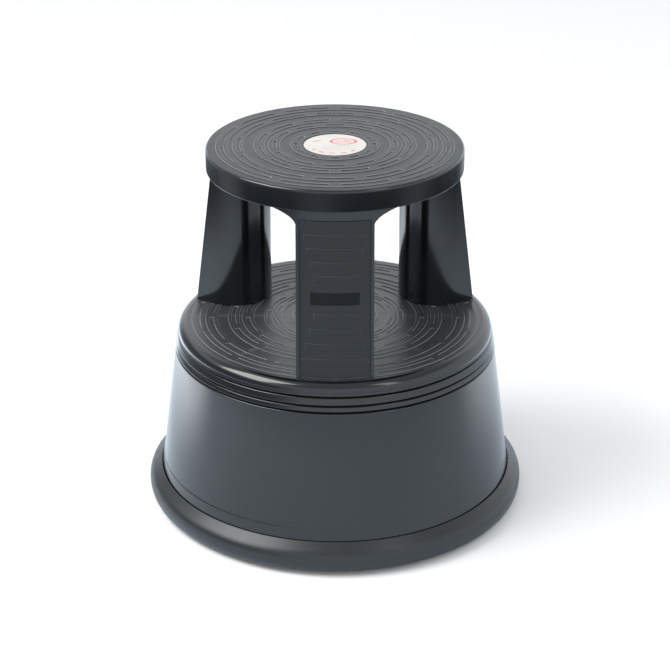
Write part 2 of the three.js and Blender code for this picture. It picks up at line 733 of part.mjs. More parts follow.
ringScrewAngles.forEach((degrees, i) => {
  const geometry = placed(screw(RING_SCREW_L), degrees, postR, 0, webZ - GAP);
  addMesh(stool, `ring_screw_${i + 1}`, geometry, "steel");
});

// ---- Castors ------------------------------------------------------------------------------------

function housing() {
  const points = [
    [HOUSING_BORE_R, housingSeatZ],
    [HOUSING_FLANGE_R, housingSeatZ],
    [HOUSING_FLANGE_R, housingFlangeZ],
    [HOUSING_BORE_R + HOUSING_T, housingFlangeZ],
    [HOUSING_BORE_R + HOUSING_T, housingTopZ],
    [STEM_R + 2 * SLIDING, housingTopZ],
    [STEM_R + 2 * SLIDING, housingRoofZ],
    [HOUSING_BORE_R, housingRoofZ],
  ];
  const lowZ = housingSeatZ - PAST;
  const highZ = housingFlangeZ + PAST;
  const holes = [-1, 1].map((side) =>
    solid(rod(SCREW_R + SCREW_GAP, lowZ, highZ, TINY, 0, side * housingScrewV)),
  );
  return geometryOf(cut(solid(turned(points, SMALL)), ...holes));
}

function bush() {
  const lipZ = WEB_TOP_Z + GAP;
  const bore = STEM_R + SLIDING;
  return turned(
    [
      [bore, webZ],
      [BUSH_R, webZ],
      [BUSH_R, lipZ],
      [BUSH_R + BUSH_LIP, lipZ],
      [BUSH_R + BUSH_LIP, lipZ + BUSH_LIP_T],
      [BUSH_SLEEVE_R, lipZ + BUSH_LIP_T],
      [BUSH_SLEEVE_R, bushTopZ],
      [bore, bushTopZ],
    ],
    SMALL,
  );
}

// One wire on a helix, drawn as an extrusion of its round section along the coils.
function spring() {
  const rise = SPRING_L - 2 * SPRING_WIRE_R;
  const steps = SPRING_TURNS * SPRING_STEPS;
  const helix = new THREE.CatmullRomCurve3(
    Array.from({ length: steps + 1 }, (_, i) => {
      const angle = (2 * Math.PI * i) / SPRING_STEPS;
      const z = springZ + SPRING_WIRE_R + (rise * i) / steps;
      return new THREE.Vector3(SPRING_COIL_R * Math.cos(angle), SPRING_COIL_R * Math.sin(angle), z);
    }),
  );
  const section = new THREE.Shape().absarc(0, 0, SPRING_WIRE_R, 0, 2 * Math.PI, false);
  const options = { steps, curveSegments: 2, bevelEnabled: false, extrudePath: helix };
  return new THREE.ExtrudeGeometry(section, options);
}

function stem() {
  return turned(
    [
      [0, rivetZ],
      [RIVET_R * HEAD_CROWN, rivetZ],
      [RIVET_R, rivetZ + RIVET_T],
      [NECK_R, rivetZ + RIVET_T],
      [NECK_R, stemShoulderZ],
      [STEM_R, stemShoulderZ],
      [STEM_R, collarZ],
      [COLLAR_R, collarZ],
      [COLLAR_R, collarZ + COLLAR_T],
      [STEM_R, collarZ + COLLAR_T],
      [STEM_R, clipZ - GAP],
      [NECK_R, clipZ - GAP],
      [NECK_R, grooveTopZ],
      [STEM_R, grooveTopZ],
      [STEM_R, stemTopZ - STEM_CHAMFER],
      [0, stemTopZ],
    ],
    SMALL,
  );
}

// A C-shaped clip in the groove of the stem.
function clip() {
  const opening = radians(CLIP_OPENING);
  const inner = NECK_R + GAP;
  const shape = new THREE.Shape();
  shape.absarc(0, 0, CLIP_R, opening, 2 * Math.PI - opening, false);
  shape.absarc(0, 0, inner, 2 * Math.PI - opening, opening, true);
  return standing(shape, clipZ, clipZ + CLIP_T, 5);
}

// Two cheeks under a crown plate. The axle is a trail's length outwards from the swivel.
function fork() {
  const topZ = crownZ + CROWN_T;
  const outline = new THREE.Shape();
  outline.moveTo(TRAIL + CHEEK_R, topZ);
  outline.lineTo(-CROWN_BACK, topZ);
  outline.lineTo(-CROWN_BACK, crownZ);
  outline.lineTo(TRAIL - CHEEK_R, WHEEL_R);
  outline.absarc(TRAIL, WHEEL_R, CHEEK_R, Math.PI, 2 * Math.PI, false);
  const crown = box(-CROWN_BACK, TRAIL + CHEEK_R, -cheekOut, cheekOut, crownZ, topZ);
  const cheeks = [sidePlate(outline, -cheekOut, -cheekIn), sidePlate(outline, cheekIn, cheekOut)];
  const axleHole = sideRod(AXLE_R + RUNNING, -cheekOut - PAST, cheekOut + PAST, SMALL);
  const neckHole = rod(NECK_R + SLIDING, crownZ - PAST, topZ + PAST, SMALL);
  const body = join(solid(crown), ...cheeks.map(solid));
  return geometryOf(cut(body, solid(axleHole), solid(neckHole)));
}

// A cylinder along v through the axle's place.
function sideRod(radius, lowV, highV, sides) {
  const geometry = new THREE.CylinderGeometry(radius, radius, highV - lowV, sides);
  return geometry.translate(0, (lowV + highV) / 2, 0).translate(TRAIL, 0, WHEEL_R);
}

// Turned about the axle from [radius, v] points.
function turnedOnAxle(points, sides) {
  return turned(points, sides).rotateX(-Math.PI / 2).translate(TRAIL, 0, WHEEL_R);
}

function axle() {
  const end = cheekOut + GAP;
  return turnedOnAxle(
    [
      [0, -end - AXLE_HEAD_T],
      [AXLE_HEAD_R, -end - AXLE_HEAD_T],
      [AXLE_HEAD_R, -end],
      [AXLE_R, -end],
      [AXLE_R, end],
      [AXLE_R + AXLE_FLARE, end],
      [AXLE_R + AXLE_FLARE / 2, end + AXLE_HEAD_T],
      [0, end + AXLE_HEAD_T],
    ],
    SMALL,
  );
}

function wheel() {
  const half = WHEEL_W / 2;
  const bore = AXLE_R + SLIDING;
  const hubR = AXLE_R + WHEEL_HUB_T;
  const dish = WHEEL_DISH;
  const rimR = WHEEL_R - WHEEL_RIM_T;
  const faceR = WHEEL_R - TREAD_BEVEL.in;
  return turnedOnAxle(
    [
      [bore, -half],
      [hubR, -half],
      [hubR, dish - half],
      [rimR, dish - half],
      [faceR, -half],
      [WHEEL_R, TREAD_BEVEL.across - half],
      [WHEEL_R, half - TREAD_BEVEL.across],
      [faceR, half],
      [rimR, half - dish],
      [hubR, half - dish],
      [hubR, half],
      [bore, half],
    ],
    TREAD_FACETS,
  );
}

for (const [side, degrees] of Object.entries(LEG_ANGLES)) {
  const castor = new THREE.Group();
  const [x, y] = castorPlace(degrees);
  castor.position.set(x, y, 0);
  castor.rotation.z = radians(degrees);
  addMesh(castor, `castor_housing_${side}`, housing(), "steel");
  addMesh(castor, `castor_bush_${side}`, bush(), "nylon");
  addMesh(castor, `castor_spring_${side}`, spring(), "steel");
  addMesh(castor, `castor_stem_${side}`, stem(), "steel");
  addMesh(castor, `castor_clip_${side}`, clip(), "steel");
  addMesh(castor, `castor_fork_${side}`, fork(), "steel");
  addMesh(castor, `castor_axle_${side}`, axle(), "steel");
  addMesh(castor, `castor_wheel_${side}`, wheel(), "tyre");
  [-1, 1].forEach((half, i) => {
    const fastener = screw(HOUSING_SCREW_L).rotateX(Math.PI);
    fastener.translate(0, half * housingScrewV, housingFlangeZ + GAP);
    addMesh(castor, `housing_screw_${side}_${i + 1}`, fastener, "steel");
  });
  stool.add(castor);
}

export default stool;
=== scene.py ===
# %% [markdown]
# # A step stool on hidden castors
# A round top step stands on three hollow legs, on a drum whose deck is the lower step. A bumper
# ring runs round the floor, and three sprung castors hide inside it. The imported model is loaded
# first and never moved. Every piece below takes its place from it, and rides on one of its bodies.

# %% Load the fixed frame
import json
import math

import bmesh
import bpy
from mathutils import Matrix, Vector


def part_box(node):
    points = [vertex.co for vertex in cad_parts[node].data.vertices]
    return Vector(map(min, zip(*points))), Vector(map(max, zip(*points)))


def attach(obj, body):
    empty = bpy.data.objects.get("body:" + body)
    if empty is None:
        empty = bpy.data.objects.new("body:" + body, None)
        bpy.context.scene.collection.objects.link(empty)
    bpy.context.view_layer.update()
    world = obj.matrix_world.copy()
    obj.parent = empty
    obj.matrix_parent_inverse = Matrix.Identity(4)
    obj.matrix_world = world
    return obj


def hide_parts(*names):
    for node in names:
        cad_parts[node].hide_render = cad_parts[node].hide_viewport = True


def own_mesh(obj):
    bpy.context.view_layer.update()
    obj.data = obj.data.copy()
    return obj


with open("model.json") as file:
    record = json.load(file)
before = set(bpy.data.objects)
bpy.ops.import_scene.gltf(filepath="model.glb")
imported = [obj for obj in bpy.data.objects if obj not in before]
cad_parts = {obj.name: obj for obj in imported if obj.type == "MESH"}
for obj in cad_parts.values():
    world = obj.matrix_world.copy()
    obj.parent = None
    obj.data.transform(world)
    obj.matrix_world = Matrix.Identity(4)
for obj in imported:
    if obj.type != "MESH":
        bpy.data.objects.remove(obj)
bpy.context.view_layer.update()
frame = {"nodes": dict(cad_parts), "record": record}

MM = 0.001

# %% [markdown]
# ## Sizes that several pieces share
# The steps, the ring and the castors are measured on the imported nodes, so that a change in the
# model moves the looks too. The rest are wall and edge sizes of the mouldings. All are millimetres.

# %% Shared sizes
TOP_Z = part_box("upper_body")[1].z / MM
DECK_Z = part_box("drum")[1].z / MM
RING_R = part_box("base_ring")[1].x / MM
TREAD_H = 0.8
PLAIN_TOP = TOP_Z - TREAD_H
PLAIN_DECK = DECK_Z - TREAD_H
TOP_R = 145
WALL = 3.5
SKIRT_Z = TOP_Z - 25.5
LEG_FOOT_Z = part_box("upper_body")[0].z / MM
LEG_FOOT_R = 169.5
LEG_TOP_R = 143.5
LEG_HALF = 42.3
LEG_BACK_U = 140
LEG_BACK_DEPTH = 47
LEG_ANGLES = {"front": -90, "left": 150, "right": 30}
LEAN = (LEG_FOOT_R - LEG_TOP_R) / (SKIRT_Z - DECK_Z)
print("steps at", round(TOP_Z, 2), "and", round(DECK_Z, 2), "mm, ring radius", round(RING_R, 2))


def face_radius(z):
    """Radius of the legs' outer faces, which lean in as they rise."""
    return LEG_FOOT_R - (z - DECK_Z) * LEAN


# %% [markdown]
# ## Sums on sockets
# A node tree is easier to read as arithmetic. `Wire` wraps one socket and adds a Math node for each
# operator used on it. `Graph.add` makes any other node from its type, its inputs and its settings,
# and a few short methods stand for the nodes used most. The same classes serve the materials and
# the Geometry Nodes.


# %% A small class for node sums
class Wire:
    def __init__(self, graph, socket):
        self.graph = graph
        self.socket = socket

    def sum(self, operation, *terms):
        return self.graph.add("ShaderNodeMath", dict(enumerate(terms)), operation=operation)[0]

    def __add__(self, other):
        return self.sum("ADD", self, other)

    def __sub__(self, other):
        return self.sum("SUBTRACT", self, other)

    def __rsub__(self, other):
        return self.sum("SUBTRACT", other, self)

    def __mul__(self, other):
        return self.sum("MULTIPLY", self, other)

    def __truediv__(self, other):
        return self.sum("DIVIDE", self, other)

    def __rtruediv__(self, other):
        return self.sum("DIVIDE", other, self)

    def __lt__(self, other):
        return self.sum("LESS_THAN", self, other)

    def __gt__(self, other):
        return self.sum("GREATER_THAN", self, other)

    __radd__ = __add__
    __rmul__ = __mul__

    def do(self, operation, *others):
        return self.sum(operation, self, *others)


class Made:
    def __init__(self, graph, node):
        self.graph = graph
        self.node = node

    def __getitem__(self, key):
        sockets = self.node.outputs
        if isinstance(key, int):
            return Wire(self.graph, sockets[key])
        return Wire(self.graph, next(s for s in sockets if s.enabled and s.name == key))


class Graph:
    def __init__(self, tree):
        self.tree = tree

    def add(self, kind, inputs=None, **settings):
        node = self.tree.nodes.new(kind)
        for key, value in settings.items():
            setattr(node, key, value)
        for key, value in (inputs or {}).items():
            self.feed(self.find(node, key), value)
        return Made(self, node)

    def find(self, node, key):
        if isinstance(key, int):
            return node.inputs[key]
        return next(s for s in node.inputs if s.enabled and s.name == key)

    def feed(self, socket, value):
        if isinstance(value, (list, tuple)) and value and isinstance(value[0], Wire):
            for wire in value:
                self.tree.links.new(wire.socket, socket)
        elif isinstance(value, Wire):
            self.tree.links.new(value.socket, socket)
        else:
            socket.default_value = value

    def blend(self, factor, first, second, **settings):
        """A mix of two colours, each a wire or a red, green and blue."""
        first, second = ((*c, 1.0) if isinstance(c, tuple) else c for c in (first, second))
        inputs = {"Factor": factor, "A": first, "B": second}
        return self.add("ShaderNodeMix", inputs, data_type="RGBA", **settings)["Result"]

    def vector(self, x=0.0, y=0.0, z=0.0):
        return self.add("ShaderNodeCombineXYZ", {"X": x, "Y": y, "Z": z})[0]

    def parts(self, vector):
        return self.add("ShaderNodeSeparateXYZ", {0: vector})

    def noise(self, place, scale, detail=2.0):
        return self.add("ShaderNodeTexNoise", {"Vector": place, "Scale": scale, "Detail": detail})["Fac"]

    def ease(self, value, low, high, top=1.0):
        """Rises from 0 at low to top at high, with soft ends."""
        inputs = {"Value": value, "From Min": low, "From Max": high, "To Max": top}
        return self.add("ShaderNodeMapRange", inputs, clamp=True, interpolation_type="SMOOTHSTEP")[0]


print("node sums ready")

# %% [markdown]
# ## What the stool is made of
# The mouldings are filled polypropylene: dark blue-grey, glossy on the drum and the skirt, grained
# on the covers and the ring. Each finish starts from one recipe: two scales of noise vary the
# colour and the roughness, sharp edges are paler, partly as wear from hands and shoes and partly as
# a painted glint, and a fine bump gives the grain. Everything reads Object coordinates, so that
# the pattern stays on the piece.


# %% One recipe for the plastics
CLOUD_SCALE = 9.0
STREAK_SCALE = (90.0, 90.0, 9.0)
WEAR_AND_GLINT_FROM, WEAR_AND_GLINT_FULL = 0.53, 0.62
COAT_ROUGH = 0.12


def new_material(name):
    material = bpy.data.materials.new(name)
    material.use_nodes = True
    return material, Graph(material.node_tree), material.node_tree.nodes["Principled BSDF"]


def moulded(name, colour, rough, grain, scuff_and_glint=0.25, metallic=0.0, coat=0.0, spread=0.12, shine=0.5):
    """colour is linear. grain is (cells per metre, bump height in metres). The scuff setting pales sharp
    edges, partly as wear and partly as a painted glint.

    spread is how far the noise moves the colour, and shine is the level of the plain reflection.
    """
    material, graph, shader = new_material(name)
    place = graph.add("ShaderNodeTexCoord")["Object"]
    cloud = graph.noise(place, CLOUD_SCALE, 4.0)
    stretched = graph.add("ShaderNodeMapping", {"Vector": place, "Scale": STREAK_SCALE})[0]
    streak = graph.noise(stretched, 1.0, 3.0)
    fine = graph.noise(place, grain[0])
    # Sharp edges are paler: partly wear from hands and shoes, partly a painted glint of light along the
    # edges.
    edge = graph.add("ShaderNodeNewGeometry")["Pointiness"]
    limits = {"Value": edge, "From Min": WEAR_AND_GLINT_FROM, "From Max": WEAR_AND_GLINT_FULL}
    wear_and_glint = graph.add("ShaderNodeMapRange", limits, clamp=True)[0]
    rub_and_glint = wear_and_glint * cloud.do("MULTIPLY", 1.6) * scuff_and_glint
    dark = tuple(c * (1 - spread) for c in colour)
    pale = tuple(c * (1 + spread) for c in colour)
    rubbed_and_glint = tuple(min(1.0, c * 2.2 + 0.02) for c in colour)
    body = graph.blend(cloud * 0.7 + streak * 0.3, dark, pale)
    graph.feed(shader.inputs["Base Color"], graph.blend(rub_and_glint, body, rubbed_and_glint))
    varied = rough + (cloud - 0.5) * 0.12 + (streak - 0.5) * 0.08 + rub_and_glint * 0.15
    graph.feed(shader.inputs["Roughness"], varied)
    grained = {"Height": fine + streak * 0.3, "Distance": grain[1], "Strength": 0.6}
    graph.feed(shader.inputs["Normal"], graph.add("ShaderNodeBump", grained)["Normal"])
    shader.inputs["Metallic"].default_value = metallic
    shader.inputs["Coat Weight"].default_value = coat
    shader.inputs["Specular IOR Level"].default_value = shine
    shader.inputs["Coat Roughness"].default_value = COAT_ROUGH
    return material


GLOSS = moulded("glossy moulding", (0.0032, 0.0042, 0.0052), 0.15, (500.0, 0.000004), coat=0.15)
STEP = moulded("step moulding", (0.009, 0.0105, 0.012), 0.33, (1500.0, 0.00006), scuff_and_glint=0.5, shine=0.28)
# The deck's paler colour is partly its dusty matte tone and partly painted light, lifted to make up for the
# shade under the top step.
DECK = moulded("deck moulding", (0.030, 0.034, 0.037), 0.36, (1500.0, 0.00005), scuff_and_glint=0.5)
COVER = moulded("grained cover", (0.0062, 0.0078, 0.0088), 0.42, (2200.0, 0.00012), scuff_and_glint=0.35, shine=0.42)
BADGE = moulded("smooth badge", (0.002, 0.0024, 0.0028), 0.30, (1200.0, 0.00004), scuff_and_glint=0.1, shine=0.22)
RING = moulded("bumper moulding", (0.0080, 0.0110, 0.0130), 0.36, (1300.0, 0.00010), scuff_and_glint=0.3)
# Painted highlight: a pale grey on the tread bevels stands in for glints of light along the link edges.
STEP_GLINT = moulded("painted glint on step edges", (0.150, 0.156, 0.162), 0.24, (1500.0, 0.00004), spread=0.6)
# Painted highlight: a paler grey on the bevels of the cover bars stands in for glints of light along their
# edges.
COVER_GLINT = moulded("painted glint on cover edges", (0.030, 0.034, 0.036), 0.36, (2200.0, 0.00008), spread=0.4)
RUBBER = moulded("floor rubber", (0.012, 0.012, 0.012), 0.80, (1600.0, 0.00020), scuff_and_glint=0.2)
NYLON = moulded("nylon bush", (0.62, 0.60, 0.53), 0.45, (1200.0, 0.00005), scuff_and_glint=0.0, spread=0.05)
TYRE = moulded("castor tyre", (0.030, 0.030, 0.033), 0.55, (1400.0, 0.00008), scuff_and_glint=0.3)
STEEL = moulded("zinc plated steel", (0.46, 0.47, 0.48), 0.30, (700.0, 0.00003), scuff_and_glint=0.1, metallic=1.0)
print("plastics and steel:", len(bpy.data.materials))

# %% [markdown]
# ## Making a mesh a finished piece
# Each finished piece has its object at the origin and its place in its mesh, as the imported nodes
# have. `finish` names the piece, gives it its finish, marks sharp edges by angle, and says which
# body it rides on and which imported nodes it stands for.


# %% Helpers for meshes
WELD = 1e-7
SHARP_FROM = 38


def mesh_object(name, mesh):
    made = bpy.data.objects.new(name, mesh)
    bpy.context.scene.collection.objects.link(made)
    return made


def edited(mesh, change):
    """Runs change on the mesh as a bmesh, and keeps the result."""
    work = bmesh.new()
    work.from_mesh(mesh)
    change(work)
    work.to_mesh(mesh)
    work.free()
    return mesh


def weld(work):
    """Merges doubles, then turns every face outwards."""
    bmesh.ops.remove_doubles(work, verts=work.verts, dist=WELD)
    bmesh.ops.recalc_face_normals(work, faces=work.faces)


def from_faces(name, points, faces):
    """points are in millimetres."""
    mesh = bpy.data.meshes.new(name)
    mesh.from_pydata([Vector(p) * MM for p in points], [], faces)
    return mesh_object(name, edited(mesh, weld))


def keep_modified(made):
    """Replaces a mesh by what its modifiers make of it."""
    bpy.context.view_layer.update()
    result = bpy.data.meshes.new_from_object(made.evaluated_get(bpy.context.evaluated_depsgraph_get()))
    made.modifiers.clear()
    made.data = result
    return made


def flatten(made, kind, **settings):
    """Adds one modifier and keeps the mesh that comes out of it."""
    modifier = made.modifiers.new(kind.lower(), kind)
    for key, value in settings.items():
        setattr(modifier, key, value)
    return keep_modified(made)


def soften(made, width, segments=2, angle=50):
    return flatten(made, "BEVEL", width=width * MM, segments=segments, limit_method="ANGLE",
                   angle_limit=math.radians(angle), use_clamp_overlap=True)


def united(made, others, operation="UNION"):
    """One closed body from overlapping ones."""
    for other in others:
        flatten(made, "BOOLEAN", object=other, operation=operation, solver="MANIFOLD")
        bpy.data.objects.remove(other)
    return made


def cut(made, cutters):
    return united(made, cutters, "DIFFERENCE")


def on_step(height, radius):
    return lambda face: face.center.z > height * MM and face.center.xy.length < radius * MM


# The tread bevels, which take the painted glint.
def on_step_glint(height, radius):
    inside = on_step(height, radius)
    return lambda face: inside(face) and 0.2 < face.normal.z < 0.93


# Bevel faces that lean from the cover's face, which take the painted glint.
def on_cover_glint(degrees):
    out = Vector((math.cos(math.radians(degrees)), math.sin(math.radians(degrees)), LEAN)).normalized()
    return lambda face: 0.3 < face.normal.dot(out) < 0.92


def finish(made, name, material, body, nodes, zones=()):
    """A zone is (material, test), and a face that passes the test takes the zone's material."""
    made.data.materials.clear()
    made.data.materials.append(material)
    made.data.polygons.foreach_set("use_smooth", [True] * len(made.data.polygons))
    made.data.polygons.foreach_set("material_index", [0] * len(made.data.polygons))
    made.data.set_sharp_from_angle(angle=math.radians(SHARP_FROM))
    flatten(made, "WEIGHTED_NORMAL", keep_sharp=True)
    for number, (other, test) in enumerate(zones, 1):
        made.data.materials.append(other)
        for face in made.data.polygons:
            if test(face):
                face.material_index = number
    made.name = name
    made.data.name = name
    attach(made, body)
    if nodes:
        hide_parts(*nodes)
    print(name, "-", len(made.data.polygons), "faces on", body)
    return made


def eased(points):
    """Rounds the corners of a closed profile. A point is (radius, height) with an easing or none."""
    out = []
    for i, point in enumerate(points):
        ease = point[2] if len(point) > 2 else 0
        here = Vector(point[:2])
        if not ease:
            out.append(here)
            continue
        before = Vector(points[i - 1][:2]) - here
        after = Vector(points[(i + 1) % len(points)][:2]) - here
        reach = min(ease, 0.48 * before.length, 0.48 * after.length)
        first = here + before.normalized() * reach
        last = here + after.normalized() * reach
        for t in (0, 0.25, 0.5, 0.75, 1):
            out.append(first * (1 - t) ** 2 + here * 2 * t * (1 - t) + last * t ** 2)
    return out


def arc(centre_r, centre_z, radius, start, end, steps):
    angles = [math.radians(start + (end - start) * i / steps) for i in range(steps + 1)]
    return [(centre_r + radius * math.cos(a), centre_z + radius * math.sin(a)) for a in angles]


def turned(name, profile, steps, place=None):
    """A closed profile of [radius, z] turned round Z. place then moves each point, if it is given."""
    profile = [tuple(p[:2]) for p in profile]
    points = []
    for k in range(steps):
        turn = 2 * math.pi * k / steps
        for r, z in profile:
            points.append((r * math.cos(turn), r * math.sin(turn), z))
    count = len(profile)
    faces = []
    for k in range(steps):
        here, there = k * count, (k + 1) % steps * count
        for i in range(count):
            j = (i + 1) % count
            on_axis = profile[i][0] < 1e-6, profile[j][0] < 1e-6
            if all(on_axis):
                continue
            if on_axis[0]:
                faces.append((here + i, here + j, there + j))
            elif on_axis[1]:
                faces.append((here + i, here + j, there + i))
            else:
                faces.append((here + i, here + j, there + j, there + i))
    if place:
        points = [place @ Vector(p) for p in points]
    return from_faces(name, points, faces)


def tube(name, inner, outer, low, high, steps, place=None):
    """A tube, or a rod where inner is 0."""
    return turned(name, [(inner, low), (outer, low), (outer, high), (inner, high)], steps, place)


print("mesh helpers ready")

# %% [markdown]
# ## Treads, by Geometry Nodes
# Both steps carry raised bands of links, so that a shoe grips. One band is a ring of twelve solid
# blocks joined by two thin rails, with a slot between the rails. The band follows a rule, so a tree
# makes it: a flat grid is bent into a ring, its slot cells are deleted, and what is left is
# extruded. All its sizes are inputs, and one tree makes all twelve bands.


# %% The tread band tree
def tree_with(name, numbers, **others):
    """numbers names the inputs that are plain numbers, and others gives the kinds of the rest."""
    tree = bpy.data.node_groups.new(name, "GeometryNodeTree")
    tree.interface.new_socket("Geometry", in_out="OUTPUT", socket_type="NodeSocketGeometry")
    kinds = {label: "Float" for label in numbers} | others | {"Material": "Material"}
    for label, kind in kinds.items():
        tree.interface.new_socket(label, in_out="INPUT", socket_type="NodeSocket" + kind)
    graph = Graph(tree)
    given = graph.add("NodeGroupInput")
    return tree, graph, {label: given[label] for label in kinds}


def merge(graph, geometry, distance):
    return graph.add("GeometryNodeMergeByDistance", {"Geometry": geometry, "Distance": distance})[0]


def thicken(graph, sheet, offset, scale=1.0):
    inputs = {"Mesh": sheet, "Offset": offset, "Offset Scale": scale, "Individual": False}
    return graph.add("GeometryNodeExtrudeMesh", inputs, mode="FACES")["Mesh"]


def dots(graph, count):
    """Points to put copies on, all in the middle until they are moved."""
    return graph.add("GeometryNodeMeshLine", {"Count": count, "Offset": (0.0, 0.0, 0.0)})[0]


def end_tree(graph, geometry, material):
    real = graph.add("GeometryNodeRealizeInstances", {"Geometry": geometry})[0]
    coloured = graph.add("GeometryNodeSetMaterial", {"Geometry": real, "Material": material})[0]
    graph.add("NodeGroupOutput", {"Geometry": coloured})


def run_tree(name, tree, material, lengths, **others):
    """Runs a tree on an empty mesh, and keeps what it makes. lengths are in millimetres."""
    made = mesh_object(name, bpy.data.meshes.new(name))
    modifier = made.modifiers.new("tree", "NODES")
    modifier.node_group = tree
    sockets = {s.name: s.identifier for s in tree.interface.items_tree if s.in_out == "INPUT"}
    values = {label: value * MM for label, value in lengths.items()} | others | {"Material": material}
    for label, value in values.items():
        modifier[sockets[label]] = value
    edited(keep_modified(made).data, weld)
    return made


LINK_CELLS = 14
BLOCK_CELLS = 2
GRID_WELD = 1e-6
tread_tree, g, given = tree_with("tread band", [
    "Inner radius", "Slot inner", "Slot outer", "Outer radius", "Block length", "Turn", "Low height",
    "Rise"], Links="Int")
columns = given["Links"] * LINK_CELLS
cells = {"Size X": 1.0, "Size Y": 1.0, "Vertices X": columns + 1, "Vertices Y": 4}
grid = g.add("GeometryNodeMeshGrid", cells)["Mesh"]
spot = g.parts(g.add("GeometryNodeInputPosition")[0])
column = (spot["X"] + 0.5) * columns
row = (spot["Y"] + 0.5) * 3
link = ((column + 0.001) / LINK_CELLS).do("FLOOR")
cell = column - link * LINK_CELLS
in_slot = (cell > BLOCK_CELLS) * (row > 1.01) * (row < 1.99)
open_grid = g.add("GeometryNodeDeleteGeometry", {"Geometry": grid, "Selection": in_slot}, domain="FACE")[0]
pitch = 2 * math.pi / given["Links"]
half_block = given["Block length"] / (given["Slot inner"] + given["Slot outer"])
slot_cell = (pitch - half_block * 2) / (LINK_CELLS - BLOCK_CELLS)
turn = link * pitch - half_block + cell.do("MINIMUM", BLOCK_CELLS) * half_block * (2 / BLOCK_CELLS)
turn = turn + (cell - BLOCK_CELLS).do("MAXIMUM", 0.0) * slot_cell + given["Turn"]
first = row.do("MINIMUM", 1.0)
second = (row - 1).do("MAXIMUM", 0.0).do("MINIMUM", 1.0)
third = (row - 2).do("MAXIMUM", 0.0)
radius = (given["Inner radius"] + first * (given["Slot inner"] - given["Inner radius"])
          + second * (given["Slot outer"] - given["Slot inner"])
          + third * (given["Outer radius"] - given["Slot outer"]))
bent = g.vector(radius * turn.do("COSINE"), radius * turn.do("SINE"), given["Low height"])
flat = g.add("GeometryNodeSetPosition", {"Geometry": open_grid, "Position": bent})[0]
welded = merge(g, flat, GRID_WELD)
risen = thicken(g, welded, g.vector(z=given["Rise"]))
under = g.add("GeometryNodeFlipFaces", {"Mesh": welded})[0]
both = g.add("GeometryNodeJoinGeometry", {"Geometry": [risen, under]})[0]
end_tree(g, merge(g, both, GRID_WELD), given["Material"])

LINKS = 12
BLOCK_LENGTH = 12.6
TREAD_BEVEL = 0.55
SINK = 0.3


def tread_band(name, inner, outer, slot, width, offset, plain_z):
    """One band of links. slot is the slot's middle radius and width its width."""
    made = run_tree(name, tread_tree, STEP, {
        "Inner radius": inner, "Outer radius": outer, "Slot inner": slot - width / 2,
        "Slot outer": slot + width / 2, "Block length": BLOCK_LENGTH, "Low height": plain_z - SINK,
        "Rise": TREAD_H + SINK}, Links=LINKS, Turn=math.radians(offset))
    return soften(made, TREAD_BEVEL)


# Each row holds the band's inner and outer radius, its slot's middle and width, and its first turn.
TOP_BANDS = [
    (38, 50, 44, 4.2, 15),
    (61.7, 75.4, 67.9, 3.8, 15), (78.8, 91.6, 84.9, 3.8, 0),
    (103, 115.3, 108.7, 3.8, 15), (120.2, 134, 127.0, 3.8, 0)]
DECK_BANDS = [
    (44, 49.8, 46.9, 1.6, 15),
    (61, 71.0, 66.6, 3.2, 0), (73.0, 82.5, 77.4, 3.2, 15),
    (94, 108.4, 101.0, 4.2, 0), (111.0, 124.5, 118.0, 4.2, 15),
    (136, 150.7, 143.6, 4.6, 0), (152.8, 166.7, 159.4, 4.2, 15)]
top_bands = [tread_band("top band", *sizes, PLAIN_TOP) for sizes in TOP_BANDS]
deck_bands = [tread_band("deck band", *sizes, PLAIN_DECK) for sizes in DECK_BANDS]
print("tread bands:", len(top_bands), "and", len(deck_bands), "with",
      sum(len(b.data.polygons) for b in top_bands + deck_bands), "faces")

# %% [markdown]
# ## Ribs under both steps, by Geometry Nodes
# A thin moulded step is stiffened from below by ribs that run out from a hub. They repeat round the
# middle, so one box is placed on the points of a circle and turned with them.

# %% The rib tree
rib_tree, g, given = tree_with("radial ribs", [
    "Inner radius", "Outer radius", "Thickness", "Low height", "High height"], Count="Int")
length = given["Outer radius"] - given["Inner radius"]
tall = given["High height"] - given["Low height"]
size = g.vector(length, given["Thickness"], tall)
bar = g.add("GeometryNodeMeshCube", {"Size": size, "Vertices X": 12})["Mesh"]
out = g.vector(given["Inner radius"] + length * 0.5, z=given["Low height"] + tall * 0.5)
bar = g.add("GeometryNodeTransform", {"Geometry": bar, "Translation": out})[0]
number = g.add("GeometryNodeInputIndex")[0]
spin = g.vector(z=number * (2 * math.pi) / given["Count"])
ringed = {"Points": dots(g, given["Count"]), "Instance": bar, "Rotation": spin}
ribs = g.add("GeometryNodeInstanceOnPoints", ringed)[0]
end_tree(g, ribs, given["Material"])


def radial_ribs(name, count, inner, outer, thick, low, high, material):
    return run_tree(name, rib_tree, material, {
        "Inner radius": inner, "Outer radius": outer, "Thickness": thick, "Low height": low,
        "High height": high}, Count=count)


print("rib tree:", len(rib_tree.nodes), "nodes")

# %% [markdown]
# ## Top step and legs: one moulding
# The real piece comes out of the mould in one: a round step with a skirt, and three hollow legs
# that flare under it. The step is a turned profile. A leg is lofted: its outline in plan is a flat
# face, two straight sides and a round back, and each row of the loft is that outline at one
# height. The window where the cover snaps in is left open, then the skin gets its wall.

# %% The top step
top_profile = eased([
    (0, PLAIN_TOP - WALL), (TOP_R - WALL, PLAIN_TOP - WALL, 1.5), (TOP_R - WALL, SKIRT_Z, 0.5),
    (TOP_R, SKIRT_Z, 0.8), (TOP_R, PLAIN_TOP, 3.2), (35.3, PLAIN_TOP, 0.2),
    (35.3, PLAIN_TOP - 0.4), (0, PLAIN_TOP - 0.4)])
top_step = turned("top step", top_profile, 192)
print("top step:", len(top_step.data.polygons), "faces")

